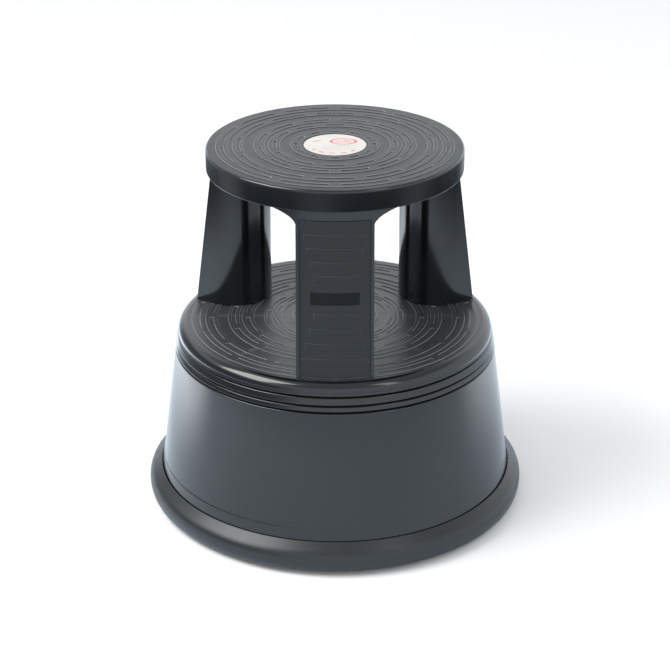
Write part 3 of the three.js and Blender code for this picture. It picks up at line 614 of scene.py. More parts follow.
# %% The flare under the skirt
FLARE_Z = SKIRT_Z - 15
FLARE_BEND_Z = FLARE_Z + 9.3
FLARE_HALF = 68
FLARE_BEND_HALF = LEG_HALF + 3.6
HEAD_DEPTH = 10
SNAP_GAP = 0.4
WINDOW_TOP = SKIRT_Z - HEAD_DEPTH + SNAP_GAP
WINDOW_HALF = LEG_HALF - WALL


def bend(t, low, middle, high):
    return (1 - t) ** 2 * low + 2 * t * (1 - t) * middle + t ** 2 * high


def flare_at(z):
    """Half width of the leg's head at a height, on a quadratic curve."""
    if z <= FLARE_Z:
        return LEG_HALF
    low, high = 0.0, 1.0
    for _ in range(40):
        middle = (low + high) / 2
        if bend(middle, FLARE_Z, FLARE_BEND_Z, SKIRT_Z) < z:
            low = middle
        else:
            high = middle
    return bend(low, LEG_HALF, FLARE_BEND_HALF, FLARE_HALF)


def smooth(value, low, high):
    t = min(1.0, max(0.0, (value - low) / (high - low)))
    return t * t * (3 - 2 * t)


# Shares of the way from the face's corner to the back, closer together where the back is round.
FACE_U = math.sqrt(LEG_TOP_R ** 2 - LEG_HALF ** 2) + 20
BACK_ANGLES = [math.pi / 2 * i / 14 for i in range(15)]
side_us = [FACE_U + (LEG_BACK_U - FACE_U) * i / 5 for i in range(1, 5)]
side_us += [LEG_BACK_U - LEG_BACK_DEPTH * math.sin(a) for a in BACK_ANGLES]
SIDE_SHARES = [(FACE_U - u) / (FACE_U - LEG_BACK_U + LEG_BACK_DEPTH) for u in side_us]


def leg_outline(z):
    """The leg's outline at a height, from the face's right edge round the back to its left edge."""
    half = flare_at(min(z, SKIRT_Z))
    spread = half - LEG_HALF
    face_r = face_radius(z) if z <= SKIRT_Z else LEG_TOP_R - 0.4
    corner_u = math.sqrt(face_r ** 2 - half ** 2)
    ends = [-half, -(half + WINDOW_HALF) / 2] if spread else [-LEG_HALF, -LEG_HALF + WALL / 2]
    across = ends + [-WINDOW_HALF + 2 * WINDOW_HALF * i / 10 for i in range(11)]
    across += [-v for v in reversed(ends)]
    face = [(math.sqrt(face_r ** 2 - v * v), v) for v in across]
    # The rest runs down one side, round the back and up the other side.
    side = []
    for share in SIDE_SHARES:
        u = corner_u + (LEG_BACK_U - LEG_BACK_DEPTH - corner_u) * share
        hollow = max(0.0, LEG_BACK_U - u) / LEG_BACK_DEPTH
        side.append((u, LEG_HALF * math.sqrt(max(0.0, 1 - hollow ** 2)) + spread * smooth(u, 96, 124)))
    other = [(u, -v) for u, v in reversed(side[:-1])]
    return face + side + other


rows = [LEG_FOOT_Z + (FLARE_Z - LEG_FOOT_Z) * i / 12 for i in range(13)]
rows += [FLARE_Z + 2.5, WINDOW_TOP]
rows += [WINDOW_TOP + (HEAD_DEPTH - SNAP_GAP) * t for t in (0.2, 0.38, 0.54, 0.68, 0.8, 0.9, 1.0)]
rows += [SKIRT_Z + 1, PLAIN_TOP - WALL / 2]


def leg(degrees):
    loft = [leg_outline(z) for z in rows]
    count = len(loft[0])
    points = [(u, v, z) for z, outline in zip(rows, loft) for u, v in outline]
    faces = []
    for i in range(len(rows) - 1):
        for k in range(count):
            window = 2 <= k < 12 and rows[i + 1] <= WINDOW_TOP + 0.01
            if not window:
                a, b = i * count + k, i * count + (k + 1) % count
                faces.append((a, b, b + count, a + count))
    turn = Matrix.Rotation(math.radians(degrees), 3, "Z")
    made = from_faces("leg", [turn @ Vector(p) for p in points], faces)
    middle = turn @ Vector((LEG_BACK_U, 0, 0)) * MM

    def outwards(work):
        face = max(work.faces, key=lambda f: f.calc_area())
        if face.normal.dot(Vector((face.calc_center_median() - middle)[:2] + (0,))) < 0:
            bmesh.ops.reverse_faces(work, faces=work.faces)

    edited(made.data, outwards)
    flatten(made, "SOLIDIFY", thickness=WALL * MM, offset=-1.0, use_even_offset=False)
    return soften(made, 0.6)


legs = {side: leg(degrees) for side, degrees in LEG_ANGLES.items()}
print("legs:", {side: len(made.data.polygons) for side, made in legs.items()})

# %% Joining the moulding
HUB_R = 20
RIB_IN = 15
RIB_THICK = 3
RIB_DEPTH = 12
rib_low = PLAIN_TOP - WALL - RIB_DEPTH
hub = tube("hub", 0, HUB_R, rib_low, PLAIN_TOP - 2, 48)
under_ribs = radial_ribs("under ribs", 6, RIB_IN, TOP_R - WALL / 2, RIB_THICK, rib_low,
                         PLAIN_TOP - 2, GLOSS)
upper = united(top_step, [*legs.values(), hub, under_ribs, *top_bands])
# The tread bevels of the top step take the painted glint.
finish(upper, "step_moulding", GLOSS, "root", ["upper_body"],
       [(STEP, on_step(PLAIN_TOP - 0.3, 142.5)), (STEP_GLINT, on_step_glint(PLAIN_TOP - 0.3, 140))])

# %% [markdown]
# ## The drum
# The drum is another turned moulding: a deck with a big rounded shoulder, three lips below it like
# the boards of a barn wall, a long plain wall that widens to the floor, and a thin line above the
# ring. The lips make the dark lines under the shoulder, because each one hangs over the next.

# %% Turn the drum
SHOULDER_R = 182.2
SHOULDER_ROUND = 11.7
centre_r = SHOULDER_R - SHOULDER_ROUND
centre_z = PLAIN_DECK - SHOULDER_ROUND
FOOT_R = 206
WALL_LEAN = 0.13423


def wall_radius(z):
    return FOOT_R - (z - 38) * WALL_LEAN


RIM_Z = 34
LINE_Z = 50.5
LIPS_Z = 183
outside = [
    (wall_radius(RIM_Z), RIM_Z + 0.3, 0.4), (wall_radius(LINE_Z), LINE_Z, 0.5),
    (wall_radius(LINE_Z) - 0.6, 51.2, 0.5), (wall_radius(185.6), 185.6, 0.8), (183.0, 187.0, 0.4),
    (186.4, 188.6, 1.0), (184.5, 193.0, 0.6), (181.8, 194.3, 0.4), (185.3, 196.1, 1.0),
    (182.7, 202.8, 0.6), (179.9, 204.2, 0.4), (183.2, 206.0, 1.0)]
# The wall is thicker behind the lips, so that their undercuts don't thin it.
LIP_EXTRA = 1.2
inside = [(centre_r + 0.01, PLAIN_DECK - WALL)]
inside += arc(centre_r, centre_z, SHOULDER_ROUND - WALL - LIP_EXTRA, 80, 0, 6)
inside += [(wall_radius(LIPS_Z) - WALL - LIP_EXTRA, LIPS_Z, 4),
           (wall_radius(RIM_Z) - WALL, RIM_Z + 0.3, 0.4)]
drum_profile = eased(outside + arc(centre_r, centre_z, SHOULDER_ROUND, 0, 90, 14)
                     + [(0, PLAIN_DECK), (0, PLAIN_DECK - WALL)] + inside)
drum = turned("drum", drum_profile, 224)
DECK_HUB_LOW, DECK_HUB_HIGH = 203.7, 218
deck_hub = tube("hub", 0, HUB_R, DECK_HUB_LOW, DECK_HUB_HIGH, 48)
deck_ribs = radial_ribs("deck ribs", 6, RIB_IN, centre_r + 5, RIB_THICK, PLAIN_DECK - WALL - RIB_DEPTH,
                        DECK_HUB_HIGH, GLOSS)
print("drum:", len(drum.data.polygons), "faces before its ribs and bands")

# %% [markdown]
# The screw posts inside the drum's foot and under its deck repeat too. They are round, so a turned
# post is made once and placed on a ring of points by a second small tree, which the screws share.

# %% A tree that places copies on a ring
ring_tree, g, given = tree_with("copies on a ring", [
    "Ring radius", "Side step", "Height", "Turn"], Piece="Object", Count="Int")
piece = g.add("GeometryNodeObjectInfo", {"Object": given["Piece"]})["Geometry"]
number = g.add("GeometryNodeInputIndex")[0]
turn = number * (2 * math.pi) / given["Count"] + given["Turn"]
x = given["Ring radius"] * turn.do("COSINE") - given["Side step"] * turn.do("SINE")
y = given["Ring radius"] * turn.do("SINE") + given["Side step"] * turn.do("COSINE")
here = {"Geometry": dots(g, given["Count"]), "Position": g.vector(x, y, given["Height"])}
placed = g.add("GeometryNodeSetPosition", here)[0]
ringed = {"Points": placed, "Instance": piece, "Rotation": g.vector(z=turn)}
end_tree(g, g.add("GeometryNodeInstanceOnPoints", ringed)[0], given["Material"])


def on_ring(name, piece, count, radius, side, height, first, material):
    lengths = {"Ring radius": radius, "Side step": side, "Height": height}
    return run_tree(name, ring_tree, material, lengths, Piece=piece, Count=count, Turn=math.radians(first))


POST_RING = wall_radius(98) - WALL - 6
POST_LOW, POST_HIGH = 62.3, 98.3
SCREW_HOLE_R = 2.3
LEG_SCREW_SIDES = (-22, 22)
HOUSING_SCREW_SIDES = (-21.5, 21.5)
FRONT = -90
post = tube("post", SCREW_HOLE_R, 6, POST_LOW, POST_HIGH, 32)
posts = on_ring("posts", post, 6, POST_RING, 0, 0, 0, GLOSS)
boss = tube("boss", SCREW_HOLE_R, 7, 206.7, 217, 32)
bosses = [on_ring("bosses", boss, 3, LEG_BACK_U, side, 0, FRONT, GLOSS) for side in LEG_SCREW_SIDES]
web = radial_ribs("post webs", 6, POST_RING + 5.5, POST_RING + 8, WALL, POST_LOW, POST_HIGH, GLOSS)
for source in (post, boss):
    bpy.data.objects.remove(source)
base = united(drum, [deck_hub, deck_ribs, posts, *bosses, web, *deck_bands])
# The deck faces take the deck colour, which is partly painted light.
# The deck's tread bevels take the painted glint.
finish(base, "base_drum", GLOSS, "root", ["drum"],
       [(DECK, on_step(PLAIN_DECK - 0.3, 171.5)), (STEP_GLINT, on_step_glint(PLAIN_DECK - 0.3, 168.5))])

# %% [markdown]
# ## The bumper ring and its rubber strip
# A bevel falls from the dark line at the drum to a blunt nose, which meets walls and shins first.
# The ring is hollow below, and its flat web inside the drum carries the castors. The rubber strip
# in its underside meets the floor when someone steps up.

# %% Turn the ring
WEB_LOW, WEB_HIGH = 58, 62
slot_r = wall_radius(RIM_Z) + 0.5
inner_r = wall_radius(WEB_HIGH) - WALL - 1
nose = [(RING_R - 5.4, 6, 1.0), (RING_R - 2.8, 7.4), (RING_R - 1.2, 10.6), (RING_R - 0.35, 14.2),
        (RING_R, 18.4), (RING_R - 0.3, 22.2), (RING_R - 1.5, 25.6), (RING_R - 3.6, 28.6),
        (RING_R - 6.4, 31.2), (RING_R - 10.2, 34.2), (slot_r + 1.3, 37.4), (slot_r, 38, 0.3)]
web_r = 116.28
ring_profile = eased(
    [(web_r, WEB_LOW, 0.5), (inner_r - 3, WEB_LOW), (inner_r - 3, 6, 0.5), (inner_r, 6, 0.5), (inner_r, 31),
     (slot_r, 31), (RING_R - 7.8, 26.5), (RING_R - 3, 20), (RING_R - 4.2, 13), (RING_R - 7.6, 6, 0.5)]
    + nose + [(slot_r, RIM_Z), (inner_r, RIM_Z), (inner_r, WEB_HIGH, 0.5), (web_r, WEB_HIGH, 0.5)])
ring = turned("ring", ring_profile, 240)
ring_ribs = radial_ribs("ring ribs", 12, inner_r - 1.5, RING_R - 3.6, 3, 14, 22, RING)
ring_ribs.data.transform(Matrix.Rotation(math.radians(15), 4, "Z"))
print("ring:", len(ring.data.polygons), "faces, web from", web_r, "mm")

# %% Openings for the castors in the web
castor_joint = {j["child"]: j for j in frame["record"]["behaviour"]["joints"]}
castor_spot = {side: Vector(castor_joint["castor_fork_" + side]["pos_m"]) / MM for side in LEG_ANGLES}
castor_r = castor_spot["front"].xy.length
CUT_LOW, CUT_HIGH = 55, 65
core = tube("core", 0, 12.9, CUT_LOW, CUT_HIGH, 48)
hole = tube("hole", 0, SCREW_HOLE_R, CUT_LOW, CUT_HIGH, 20)
cutters = [on_ring("castor cutters", core, 3, castor_r, 0, 0, FRONT, RING),
           on_ring("ring screw holes", hole, 6, POST_RING, 0, 0, 0, RING)]
cutters += [on_ring("housing screw holes", hole, 3, castor_r, side, 0, FRONT, RING)
            for side in HOUSING_SCREW_SIDES]
for source in (core, hole):
    bpy.data.objects.remove(source)
bumper = cut(united(ring, [ring_ribs]), cutters)
finish(bumper, "bumper_ring", RING, "root", ["base_ring"])
strip_r = RING_R - 3 - 4.6 - 0.3
strip_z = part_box("foot_ring")[0].z / MM
STRIP_TOP = 13.7
strip_in = inner_r + 0.3
strip_profile = [(strip_in, strip_z, 1), (strip_r, strip_z, 1), (strip_r, STRIP_TOP, 0.5)]
strip = turned("strip", eased(strip_profile + [(strip_in, STRIP_TOP, 0.5)]), 192)
finish(strip, "floor_strip", RUBBER, "root", ["foot_ring"])

# %% [markdown]
# ## Leg covers
# A cover closes the window in each leg. Its skin follows the leg's leaning round face, and low bars
# cross it in an hourglass: they are shortest next to the blank badge and longest at the ends. The
# bars follow a rule, so one tree bends a small grid for each bar onto the face and thickens it.

# %% The bar tree
bar_tree, g, given = tree_with("cover bars", [
    "First height", "Pitch", "Bar height", "First half width", "Widen", "Foot radius", "Foot height",
    "Lean", "Depth", "Turn"], Count="Int")
numbered = {"Geometry": dots(g, given["Count"]), "Name": "bar", "Value": g.add("GeometryNodeInputIndex")[0]}
kept = g.add("GeometryNodeStoreNamedAttribute", numbered, data_type="FLOAT", domain="POINT")[0]
cells = {"Size X": 2.0, "Size Y": 1.0, "Vertices X": 25, "Vertices Y": 4}
patch = g.add("GeometryNodeMeshGrid", cells)["Mesh"]
many = g.add("GeometryNodeInstanceOnPoints", {"Points": kept, "Instance": patch})[0]
many = g.add("GeometryNodeRealizeInstances", {"Geometry": many})[0]
which = g.add("GeometryNodeInputNamedAttribute", {"Name": "bar"}, data_type="FLOAT")[0]
spot = g.parts(g.add("GeometryNodeInputPosition")[0])
v = spot["X"] * (given["First half width"] + which * given["Widen"])
z = given["First height"] + which * given["Pitch"] + spot["Y"] * given["Bar height"]
face_r = given["Foot radius"] - (z - given["Foot height"]) * given["Lean"]
u = (face_r * face_r - v * v).do("SQRT")
c = given["Turn"].do("COSINE")
s = given["Turn"].do("SINE")
bent = g.vector(u * c - v * s, u * s + v * c, z)
laid = g.add("GeometryNodeSetPosition", {"Geometry": many, "Position": bent})[0]
deep = thicken(g, laid, g.vector(c * -1.0, s * -1.0), given["Depth"])
both = g.add("GeometryNodeJoinGeometry", {"Geometry": [deep, laid]})[0]
end_tree(g, merge(g, both, WELD), given["Material"])
print("bar tree:", len(bar_tree.nodes), "nodes")

# %% Skins, bars and badges
BADGE_Z = TOP_Z - 120.4
COVER_HALF = LEG_HALF - WALL - 0.15
BAR_HEIGHT = 7
BADGE_HALF, BADGE_RISE = 26.5, 6.5
PLATE_COLUMNS = 24
# A set of bars: how many, the first one's distance from the badge, pitch, widening, up or down.
BARS = [(5, 22.0, 14.7, 3.4, 1), (4, 20.3, 16.8, 4.6, -1)]


def face_plate(name, half, low, high, depth, thick, degrees, steps=20):
    """A plate on the leg's face, depth under it, drawn as a grid and given its thickness inwards."""
    turn = Matrix.Rotation(math.radians(degrees), 3, "Z")
    points = []
    for i in range(steps + 1):
        z = low + (high - low) * i / steps
        r = face_radius(z) - depth
        for k in range(PLATE_COLUMNS + 1):
            v = -half + 2 * half * k / PLATE_COLUMNS
            points.append(turn @ Vector((math.sqrt(r * r - v * v), v, z)))
    corners = [i * (PLATE_COLUMNS + 1) + k for i in range(steps) for k in range(PLATE_COLUMNS)]
    faces = [(a, a + 1, a + PLATE_COLUMNS + 2, a + PLATE_COLUMNS + 1) for a in corners]
    mesh = bpy.data.meshes.new(name)
    mesh.from_pydata([p * MM for p in points], [], faces)
    return flatten(mesh_object(name, mesh), "SOLIDIFY", thickness=thick * MM, offset=-1.0)


def cover_bars(degrees, count, start, pitch, widen, sign):
    return run_tree("bars", bar_tree, COVER, {
        "First height": BADGE_Z + sign * start, "Pitch": sign * pitch, "Bar height": BAR_HEIGHT,
        "First half width": COVER_HALF - 1.4 - (count - 1) * widen, "Widen": widen,
        "Foot radius": LEG_FOOT_R - 0.3, "Foot height": DECK_Z, "Depth": 2.0},
        Count=count, Lean=LEAN, Turn=math.radians(degrees))


for side, degrees in LEG_ANGLES.items():
    skin = face_plate("skin", COVER_HALF, LEG_FOOT_Z + 0.4, WINDOW_TOP - 0.8, 1.1, 3, degrees, 60)
    bars = [soften(cover_bars(degrees, *row), 0.55, segments=3) for row in BARS]
    cover = united(soften(skin, 0.5, angle=60), bars)
    seat = face_plate("seat", BADGE_HALF + 0.4, BADGE_Z - 6.9, BADGE_Z + 6.9, -1.0, 3.5, degrees)
    # The bevels of the bars and the skin take the painted glint.
    finish(cut(cover, [seat]), "leg_cover_face_" + side, COVER, "root", ["leg_cover_" + side],
           [(COVER_GLINT, on_cover_glint(degrees))])
    badge = face_plate("badge", BADGE_HALF, BADGE_Z - BADGE_RISE, BADGE_Z + BADGE_RISE, 1.6, 0.75, degrees)
    finish(soften(badge, 0.25, angle=40), "blank_badge_" + side, BADGE, "root",
           ["name_plate_" + side])

# %% [markdown]
# ## The sticker
# A thin round sticker sits in a shallow seat in the middle of the step. A real one would carry a
# maker's words, so this one has a plain generic mark instead: an oval with a bar, and short dashes
# round its edge. The print is arithmetic on the sticker's own x and y.

# %% Sticker paint
def near(value, half):
    """1 within half of zero, and 0 outside."""
    return value.do("ABSOLUTE") < half


sticker_paint, g, shader = new_material("printed sticker")
place = g.add("ShaderNodeTexCoord")["Object"]
axis = g.parts(place)
x = axis["X"] / MM
y = axis["Y"] / MM
far = (x * x + y * y).do("SQRT")
OVAL_X, OVAL_Y = 9.5, 10.5
across = (x - OVAL_X) / 14.0
along = (y - OVAL_Y) / 9.0
oval = near((across * across + along * along).do("SQRT") - 1, 0.10)
bar = near(y - OVAL_Y, 1.1) * near(x - OVAL_X, 9.0)
slant = near(x * 0.8 + y - 24.0, 0.9) * near(x - 13.0, 5.0)
angle = y.do("ARCTAN2", x)
dashes = ((angle * 14.0).do("SINE") > -0.1) * near(far - 28.5, 1.1)
low_dashes = dashes * (angle < -0.6) * (angle > -2.6)
tick = near(x + 20.0, 4.6) * near(y - 12.0 - (x + 20.0) * 0.5, 1.2)
rows_grey = ((y * 1.15).do("SINE") > 0.55) * near(x - 1.0, 15.0) * near(y + 9.0, 7.5)
speck = g.noise(place, 700.0)
cloud = g.noise(place, 30.0, 3.0)
red = (oval.do("MAXIMUM", bar * 0.75).do("MAXIMUM", slant * 0.6)
       .do("MAXIMUM", low_dashes).do("MAXIMUM", tick * 0.8)) * (speck > 0.36)
grey = rows_grey * (speck > 0.45)
paper = g.blend(cloud, (0.42, 0.40, 0.375), (0.62, 0.60, 0.57))
lined = g.blend(grey * 0.45, paper, (0.35, 0.36, 0.38))
g.feed(shader.inputs["Base Color"], g.blend(red * 0.95, lined, (0.55, 0.05, 0.06)))
g.feed(shader.inputs["Roughness"], 0.42 + cloud * 0.15)
paper_bump = g.add("ShaderNodeBump", {"Height": speck, "Distance": 0.00004, "Strength": 0.5})
g.feed(shader.inputs["Normal"], paper_bump["Normal"])
low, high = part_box("top_label")
low_z, high_z, sticker_r = low.z / MM, high.z / MM, high.x / MM
disc = [(0, low_z), (sticker_r, low_z), (sticker_r, high_z, 0.2), (0, high_z)]
sticker = turned("sticker", eased(disc), 96)
finish(sticker, "round_sticker", sticker_paint, "root", ["top_label"])

# %% [markdown]
# ## Screws
# Pan-head screws hold the legs, the ring and the castor housings. One screw is turned with a cross
# cut in its head, and the ring tree places the copies. Their heads point down, and those of the
# castor housings point up.


# %% Turn and place the screws
def screw(length, cross_down):
    head = [(0, -2.6), (2.6, -2.6), (3.9, -1.9), (4.2, -0.9), (4.2, 0, 0.2), (2, 0), (2, length - 2)]
    made = turned("screw", eased(head + [(0, length)]), 28)
    for degrees in (0, 90):
        size = Matrix.Diagonal((0.0048, 0.0009, 0.0022, 1))
        at = Matrix.Translation((0, 0, -0.0026)) @ Matrix.Rotation(math.radians(degrees), 4, "Z") @ size
        blade = bpy.data.meshes.new("blade")
        edited(blade, lambda work: bmesh.ops.create_cube(work, size=1, matrix=at))
        cut(made, [mesh_object("blade", blade)])
    if not cross_down:
        made.data.transform(Matrix.Rotation(math.pi, 4, "X"))
    return made


def screws(name, length, count, radius, sides, height, first, nodes, up=False):
    source = screw(length, not up)
    sets = [on_ring(name, source, count, radius, side, height, first, STEEL) for side in sides]
    bpy.data.objects.remove(source)
    made = sets[0]
    for other in sets[1:]:
        edited(made.data, lambda work: work.from_mesh(other.data))
        bpy.data.objects.remove(other)
    finish(made, name, STEEL, "root", nodes)


def pairs_of(kind):
    """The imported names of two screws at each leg."""
    return [f"{kind}_screw_{side}_{i}" for side in LEG_ANGLES for i in (1, 2)]


leg_screw_z = PLAIN_DECK - WALL - 9 - 0.3
leg_screw_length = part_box("leg_screw_front_1")[1].z / MM - leg_screw_z
screws("leg_screws", leg_screw_length, 3, LEG_BACK_U, LEG_SCREW_SIDES, leg_screw_z, FRONT, pairs_of("leg"))
screws("ring_screws", 24, 6, POST_RING, (0,), 57.7, 0, [f"ring_screw_{i}" for i in range(1, 7)])
screws("housing_screws", 8, 3, castor_r, HOUSING_SCREW_SIDES, 65.6, FRONT, pairs_of("housing"), up=True)

# %% [markdown]
# ## The sprung castors
# Each castor's stem slides in a nylon bush, under a spring that holds the stool a little off its
# rubber strip. A step's load presses the spring, and the ring comes down on the floor. The turned
# pieces share one helper, the fork is two cheeks under a crown, and the spring is a wire swept
# along a helix.

# %% Castor pieces
TRAIL = 12
WHEEL_R = 18
CHEEK_IN = 8.3
CHEEK_OUT = 11.3


def castor_turned(name, profile, spot):
    return turned(name, eased(profile), 56, Matrix.Translation((spot.x, spot.y, 0)))


def on_axle(name, profile, spot, degrees):
    """Turned about the wheel's axle, from points of radius and distance along the axle."""
    turn = Matrix.Rotation(math.radians(degrees), 4, "Z")
    place = Matrix.Translation((spot.x, spot.y, 0)) @ turn @ Matrix.Translation((TRAIL, 0, WHEEL_R))
    return turned(name, eased(profile), 64, place @ Matrix.Rotation(-math.pi / 2, 4, "X"))


def plate(name, outline, low, high, place):
    """A flat outline in x and z given a thickness along y."""
    count = len(outline)
    points = [(x, low, z) for x, z in outline] + [(x, high, z) for x, z in outline]
    faces = [tuple(range(count)), tuple(range(2 * count - 1, count - 1, -1))]
    faces += [(i, (i + 1) % count, count + (i + 1) % count, count + i) for i in range(count)]
    return from_faces(name, [place @ Vector(p) for p in points], faces)


CROWN_LOW, CROWN_HIGH = 41.3, 45.3
CHEEK_ROUND = 7
CROWN_BACK = -12


def castor_fork(spot, degrees):
    turn = Matrix.Rotation(math.radians(degrees), 4, "Z")
    place = Matrix.Translation((spot.x, spot.y, 0)) @ turn
    front = TRAIL + CHEEK_ROUND
    top = [(front, CROWN_HIGH), (CROWN_BACK, CROWN_HIGH), (CROWN_BACK, CROWN_LOW)]
    cheek = top + arc(TRAIL, WHEEL_R, CHEEK_ROUND, 200, 360, 16)
    made = plate("fork", top + [(front, CROWN_LOW)], -CHEEK_OUT, CHEEK_OUT, place)
    sides = ((-CHEEK_OUT, -CHEEK_IN), (CHEEK_IN, CHEEK_OUT))
    cheeks = [plate("cheek", cheek, *ends, place) for ends in sides]
    axle = place @ Matrix.Translation((TRAIL, 0, WHEEL_R)) @ Matrix.Rotation(math.pi / 2, 4, "X")
    bores = [tube("bore", 0, 4.1, -14, 14, 32, axle), tube("neck", 0, 4.2, 40, 47, 32, place)]
    return soften(cut(united(made, cheeks), bores), 0.5)


COIL_R = 8.5
COIL_WIRE = 1.0
COIL_TURNS = 6
COIL_STEPS = 28
COIL_SIDES = 10
COIL_FLAT = 0.75


def coil(spot, low, high):
    """A spring whose end turns lie flat. Its section is a ring of points at each step of a helix."""
    steps = COIL_TURNS * COIL_STEPS
    points = []
    for i in range(steps + 1):
        turn = 2 * math.pi * i / COIL_STEPS
        climb = (i / steps * COIL_TURNS - COIL_FLAT) / (COIL_TURNS - 2 * COIL_FLAT)
        z = low + COIL_WIRE + (high - low - 2 * COIL_WIRE) * min(1.0, max(0.0, climb))
        for r, height in arc(COIL_R, z, COIL_WIRE, 0, 360 - 360 / COIL_SIDES, COIL_SIDES - 1):
            points.append((spot.x + r * math.cos(turn), spot.y + r * math.sin(turn), height))
    faces = [tuple(range(COIL_SIDES)), tuple(range(steps * COIL_SIDES, (steps + 1) * COIL_SIDES))]
    for i in range(steps):
        for k in range(COIL_SIDES):
            a, b = i * COIL_SIDES + k, i * COIL_SIDES + (k + 1) % COIL_SIDES
            faces.append((a, b, b + COIL_SIDES, a + COIL_SIDES))
    return from_faces("coil", points, faces)


HOUSING = [(14, 62.3), (26, 62.3, 0.6), (26, 65.3, 0.6), (17, 65.3, 1.2), (17, 115.9, 0.8),
           (5.4, 115.9, 0.3), (5.4, 112.9, 0.3), (14, 112.9, 0.5)]
BUSH = [(5.2, 58, 0.3), (12.6, 58, 0.6), (12.6, 62.3), (13.7, 62.3, 0.4), (13.7, 66, 0.6), (9, 66, 0.4),
        (9, 70, 0.5), (5.2, 70, 0.3)]
STEM = [(0, 38), (5.6, 38), (8, 41, 0.8), (4, 41), (4, 45.6), (5, 45.6, 0.3), (5, 70.3), (10.5, 70.3, 0.5),
        (10.5, 73.3, 0.5), (5, 73.3), (5, 115.9, 0.2), (4, 115.9), (4, 117.5), (5, 117.5, 0.2),
        (5, 120.5, 0.3), (4.0, 121.5), (0, 121.5)]
WHEEL = [(4.2, -7, 0.4), (8, -7, 0.6), (8.3, -5, 0.8), (14, -5, 0.8), (14.6, -7, 0.6), (16.5, -7, 1.2),
         (18, -5, 1.6), (18, 5, 1.6), (16.5, 7, 1.2), (14.6, 7, 0.6), (14, 5, 0.8), (8.3, 5, 0.8),
         (8, 7, 0.6), (4.2, 7, 0.4)]
AXLE = [(0, -13.6), (5.0, -13.6), (6, -12.8, 0.5), (6, -11.6, 0.2), (4, -11.6), (4, 11.6), (5, 11.6, 0.2),
        (4.6, 13.2, 0.8), (0, 13.6)]
SPRING_LOW, SPRING_HIGH = (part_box("castor_spring_front")[i].z / MM for i in (0, 1))

for side, degrees in LEG_ANGLES.items():
    spot = castor_spot[side]
    plunger = "castor_plunger_" + side
    fork_body = "castor_fork_" + side
    wheel_body = "castor_wheel_" + side
    pieces = [
        (castor_turned("housing", HOUSING, spot), "spring_cup_", STEEL, "root", "castor_housing_", "steel"),
        (castor_turned("bush", BUSH, spot), "stem_bush_", NYLON, "root", "castor_bush_", "nylon"),
        (castor_turned("stem", STEM, spot), "castor_pin_", STEEL, plunger, "castor_stem_", "steel"),
        (castor_fork(spot, degrees), "castor_horn_", STEEL, fork_body, "castor_fork_", "steel"),
        (on_axle("axle", AXLE, spot, degrees), "wheel_rivet_", STEEL, fork_body, "castor_axle_", "steel"),
        (on_axle("wheel", WHEEL, spot, degrees), "roller_", TYRE, wheel_body, "castor_wheel_", "tyre"),
        (coil(spot, SPRING_LOW, SPRING_HIGH), "lift_spring_", STEEL, plunger, "castor_spring_", "steel")]
    for made, name, material, body, node, slot in pieces:
        finish(made, name + side, material, body, [node + side])
    wire = pieces[-1][0]
    plunge = castor_joint[plunger]
    travel = plunge["range_m"][1] / MM
    1 - travel / (SPRING_HIGH - SPRING_LOW)
    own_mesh(wire)
    clip = frame["nodes"]["castor_clip_" + side]
    clip.data.materials.clear()
    clip.data.materials.append(STEEL)
print("castors:", len(LEG_ANGLES), "springs from", round(SPRING_LOW, 1), "to", round(SPRING_HIGH, 1), "mm")

# %% [markdown]
# ## Floor, light and camera
# The floor is one pale flat sheet that runs far past the view. The light is soft: a broad panel
# overhead to the left, a small one to the right, and surroundings whose brightness changes with
# direction, which is what the glossy drum and the rounded shoulder reflect.

# %% Floor
FLOOR_HALF = 60.0
sweep = edited(bpy.data.meshes.new("paper sweep"),
               lambda work: bmesh.ops.create_grid(work, x_segments=8, y_segments=8, size=FLOOR_HALF))
floor = mesh_object("paper_sweep", sweep)
paper, g, shader = new_material("white paper")
cloud = g.noise(g.add("ShaderNodeTexCoord")["Object"], 1.2)
g.feed(shader.inputs["Base Color"], g.blend(cloud, (0.86, 0.86, 0.86), (0.90, 0.90, 0.90)))
shader.inputs["Roughness"].default_value = 0.9
sweep.materials.append(paper)
floor.visible_glossy = False

# %% [markdown]
# Gloss shows what stands round a thing. The floor is hidden from reflections, and a pale round table
# is seen only in them. The table fades out towards its edge, which the drum and the legs reflect
# and the top step's skirt doesn't, and it glows behind the stool at the left and at the right.

# %% Table for the reflections
TABLE_R = 1.10
TABLE_FADE_R = 0.70
TABLE_LIFT = Matrix.Translation((0, 0, 0.0002))
top = edited(bpy.data.meshes.new("table top"), lambda work: bmesh.ops.create_circle(
    work, cap_ends=True, segments=96, radius=TABLE_R, matrix=TABLE_LIFT))
table = mesh_object("table_top", top)
lit, g, shader = new_material("lit table")
where = g.parts(g.add("ShaderNodeTexCoord")["Object"])
behind = g.ease(where["Y"], -0.15, 0.15, 0.5)
left = g.ease(where["X"], -0.30, -0.70, 2.7)
right = g.ease(where["X"], 0.25, 0.75, 1.05)
shader.inputs["Base Color"].default_value = (0.80, 0.90, 1.0, 1.0)
shader.inputs["Roughness"].default_value = 0.9
shader.inputs["Emission Strength"].default_value = 1.0
g.feed(shader.inputs["Emission Color"],
       g.blend((left + right) * behind, (0.0, 0.0, 0.0), (2.0, 2.06, 2.15)))
far = (where["X"] * where["X"] + where["Y"] * where["Y"]).do("SQRT")
edge = g.ease(far, TABLE_FADE_R, TABLE_R)
clear = g.add("ShaderNodeBsdfTransparent")[0]
faded = g.add("ShaderNodeMixShader", {0: edge, 1: Wire(g, shader.outputs[0]), 2: clear})[0]
g.feed(lit.node_tree.nodes["Material Output"].inputs["Surface"], faded)
top.materials.append(lit)
table.visible_camera = False
table.visible_diffuse = False
table.visible_shadow = False

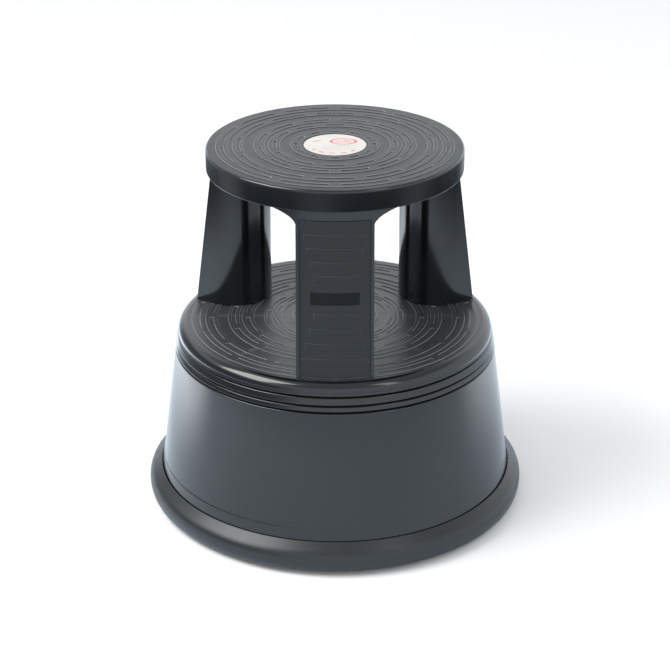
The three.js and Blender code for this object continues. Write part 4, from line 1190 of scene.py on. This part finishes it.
# %% Lights
world = bpy.data.worlds.new("studio")
world.use_nodes = True
g = Graph(world.node_tree)
aim = g.parts(g.add("ShaderNodeTexCoord")["Generated"])
ramp = g.add("ShaderNodeValToRGB", {"Fac": aim["Z"] * 0.5 + 0.5})
# Each stop is a height, from straight down at -1 to straight up at 1, and a colour.
stops = [(-0.36, (0.03, 0.03, 0.03)), (-0.22, (1.00, 1.18, 1.36)), (0.0, (1.2, 1.35, 1.5)),
         (0.25, (1.35, 1.38, 1.42)), (0.55, (1.35, 1.38, 1.42)), (0.75, (0.62, 0.62, 0.62)),
         (1.0, (0.80, 0.80, 0.80))]
band = ramp.node.color_ramp
for i, (height, colour) in enumerate(stops):
    stop = band.elements[i] if i < 2 else band.elements.new(1.0)
    stop.position = height * 0.5 + 0.5
    stop.color = (*colour, 1.0)

flag = g.ease(aim["X"], -0.30, -0.75) * g.ease(aim["Z"], -0.20, -0.06) * g.ease(aim["Z"], 0.50, 0.30)
round_it = aim["X"].do("ARCTAN2", aim["Y"] * -1)
strips = (round_it * 4 + 1.117).do("COSINE").do("MAXIMUM", 0.0) * g.ease(aim["Z"], -0.28, -0.38) * 0.42
sky = g.blend(flag * 0.72, ramp["Color"], (0.0, 0.0, 0.0))
sky = g.blend(strips, sky, (1.0, 1.04, 1.08), blend_type="ADD")
g.feed(world.node_tree.nodes["Background"].inputs["Color"], sky)
world.node_tree.nodes["Background"].inputs["Strength"].default_value = 1.0
bpy.context.scene.world = world
bpy.context.scene.view_settings.view_transform = "Standard"


def panel(name, place, size, power):
    """A soft light that looks at the middle of the stool."""
    lamp = bpy.data.lights.new(name, "AREA")
    lamp.shape = "RECTANGLE"
    lamp.size, lamp.size_y = size
    lamp.energy = power
    made = bpy.data.objects.new(name, lamp)
    made.location = place
    made.rotation_euler = (Vector((0, 0, 0.25)) - Vector(place)).to_track_quat("-Z", "Y").to_euler()
    bpy.context.scene.collection.objects.link(made)


panel("overhead left", (-1.40, -0.40, 1.85), (1.4, 1.3), 46)
panel("small right", (0.95, -0.95, 1.75), (0.3, 0.9), 3)

# %% Camera
AIM_Z = 0.1942
DISTANCE = 2.3066
RISE = 0.4381
lens = bpy.data.cameras.new("camera")
lens.lens = 106.0
lens.sensor_width = 36.0
camera = bpy.data.objects.new("camera", lens)
camera.location = (0, -DISTANCE * math.cos(RISE), AIM_Z + DISTANCE * math.sin(RISE))
camera.rotation_euler = (math.pi / 2 - RISE, 0, 0)
bpy.context.scene.collection.objects.link(camera)
bpy.context.scene.camera = camera
print("camera at", tuple(round(c, 3) for c in camera.location))
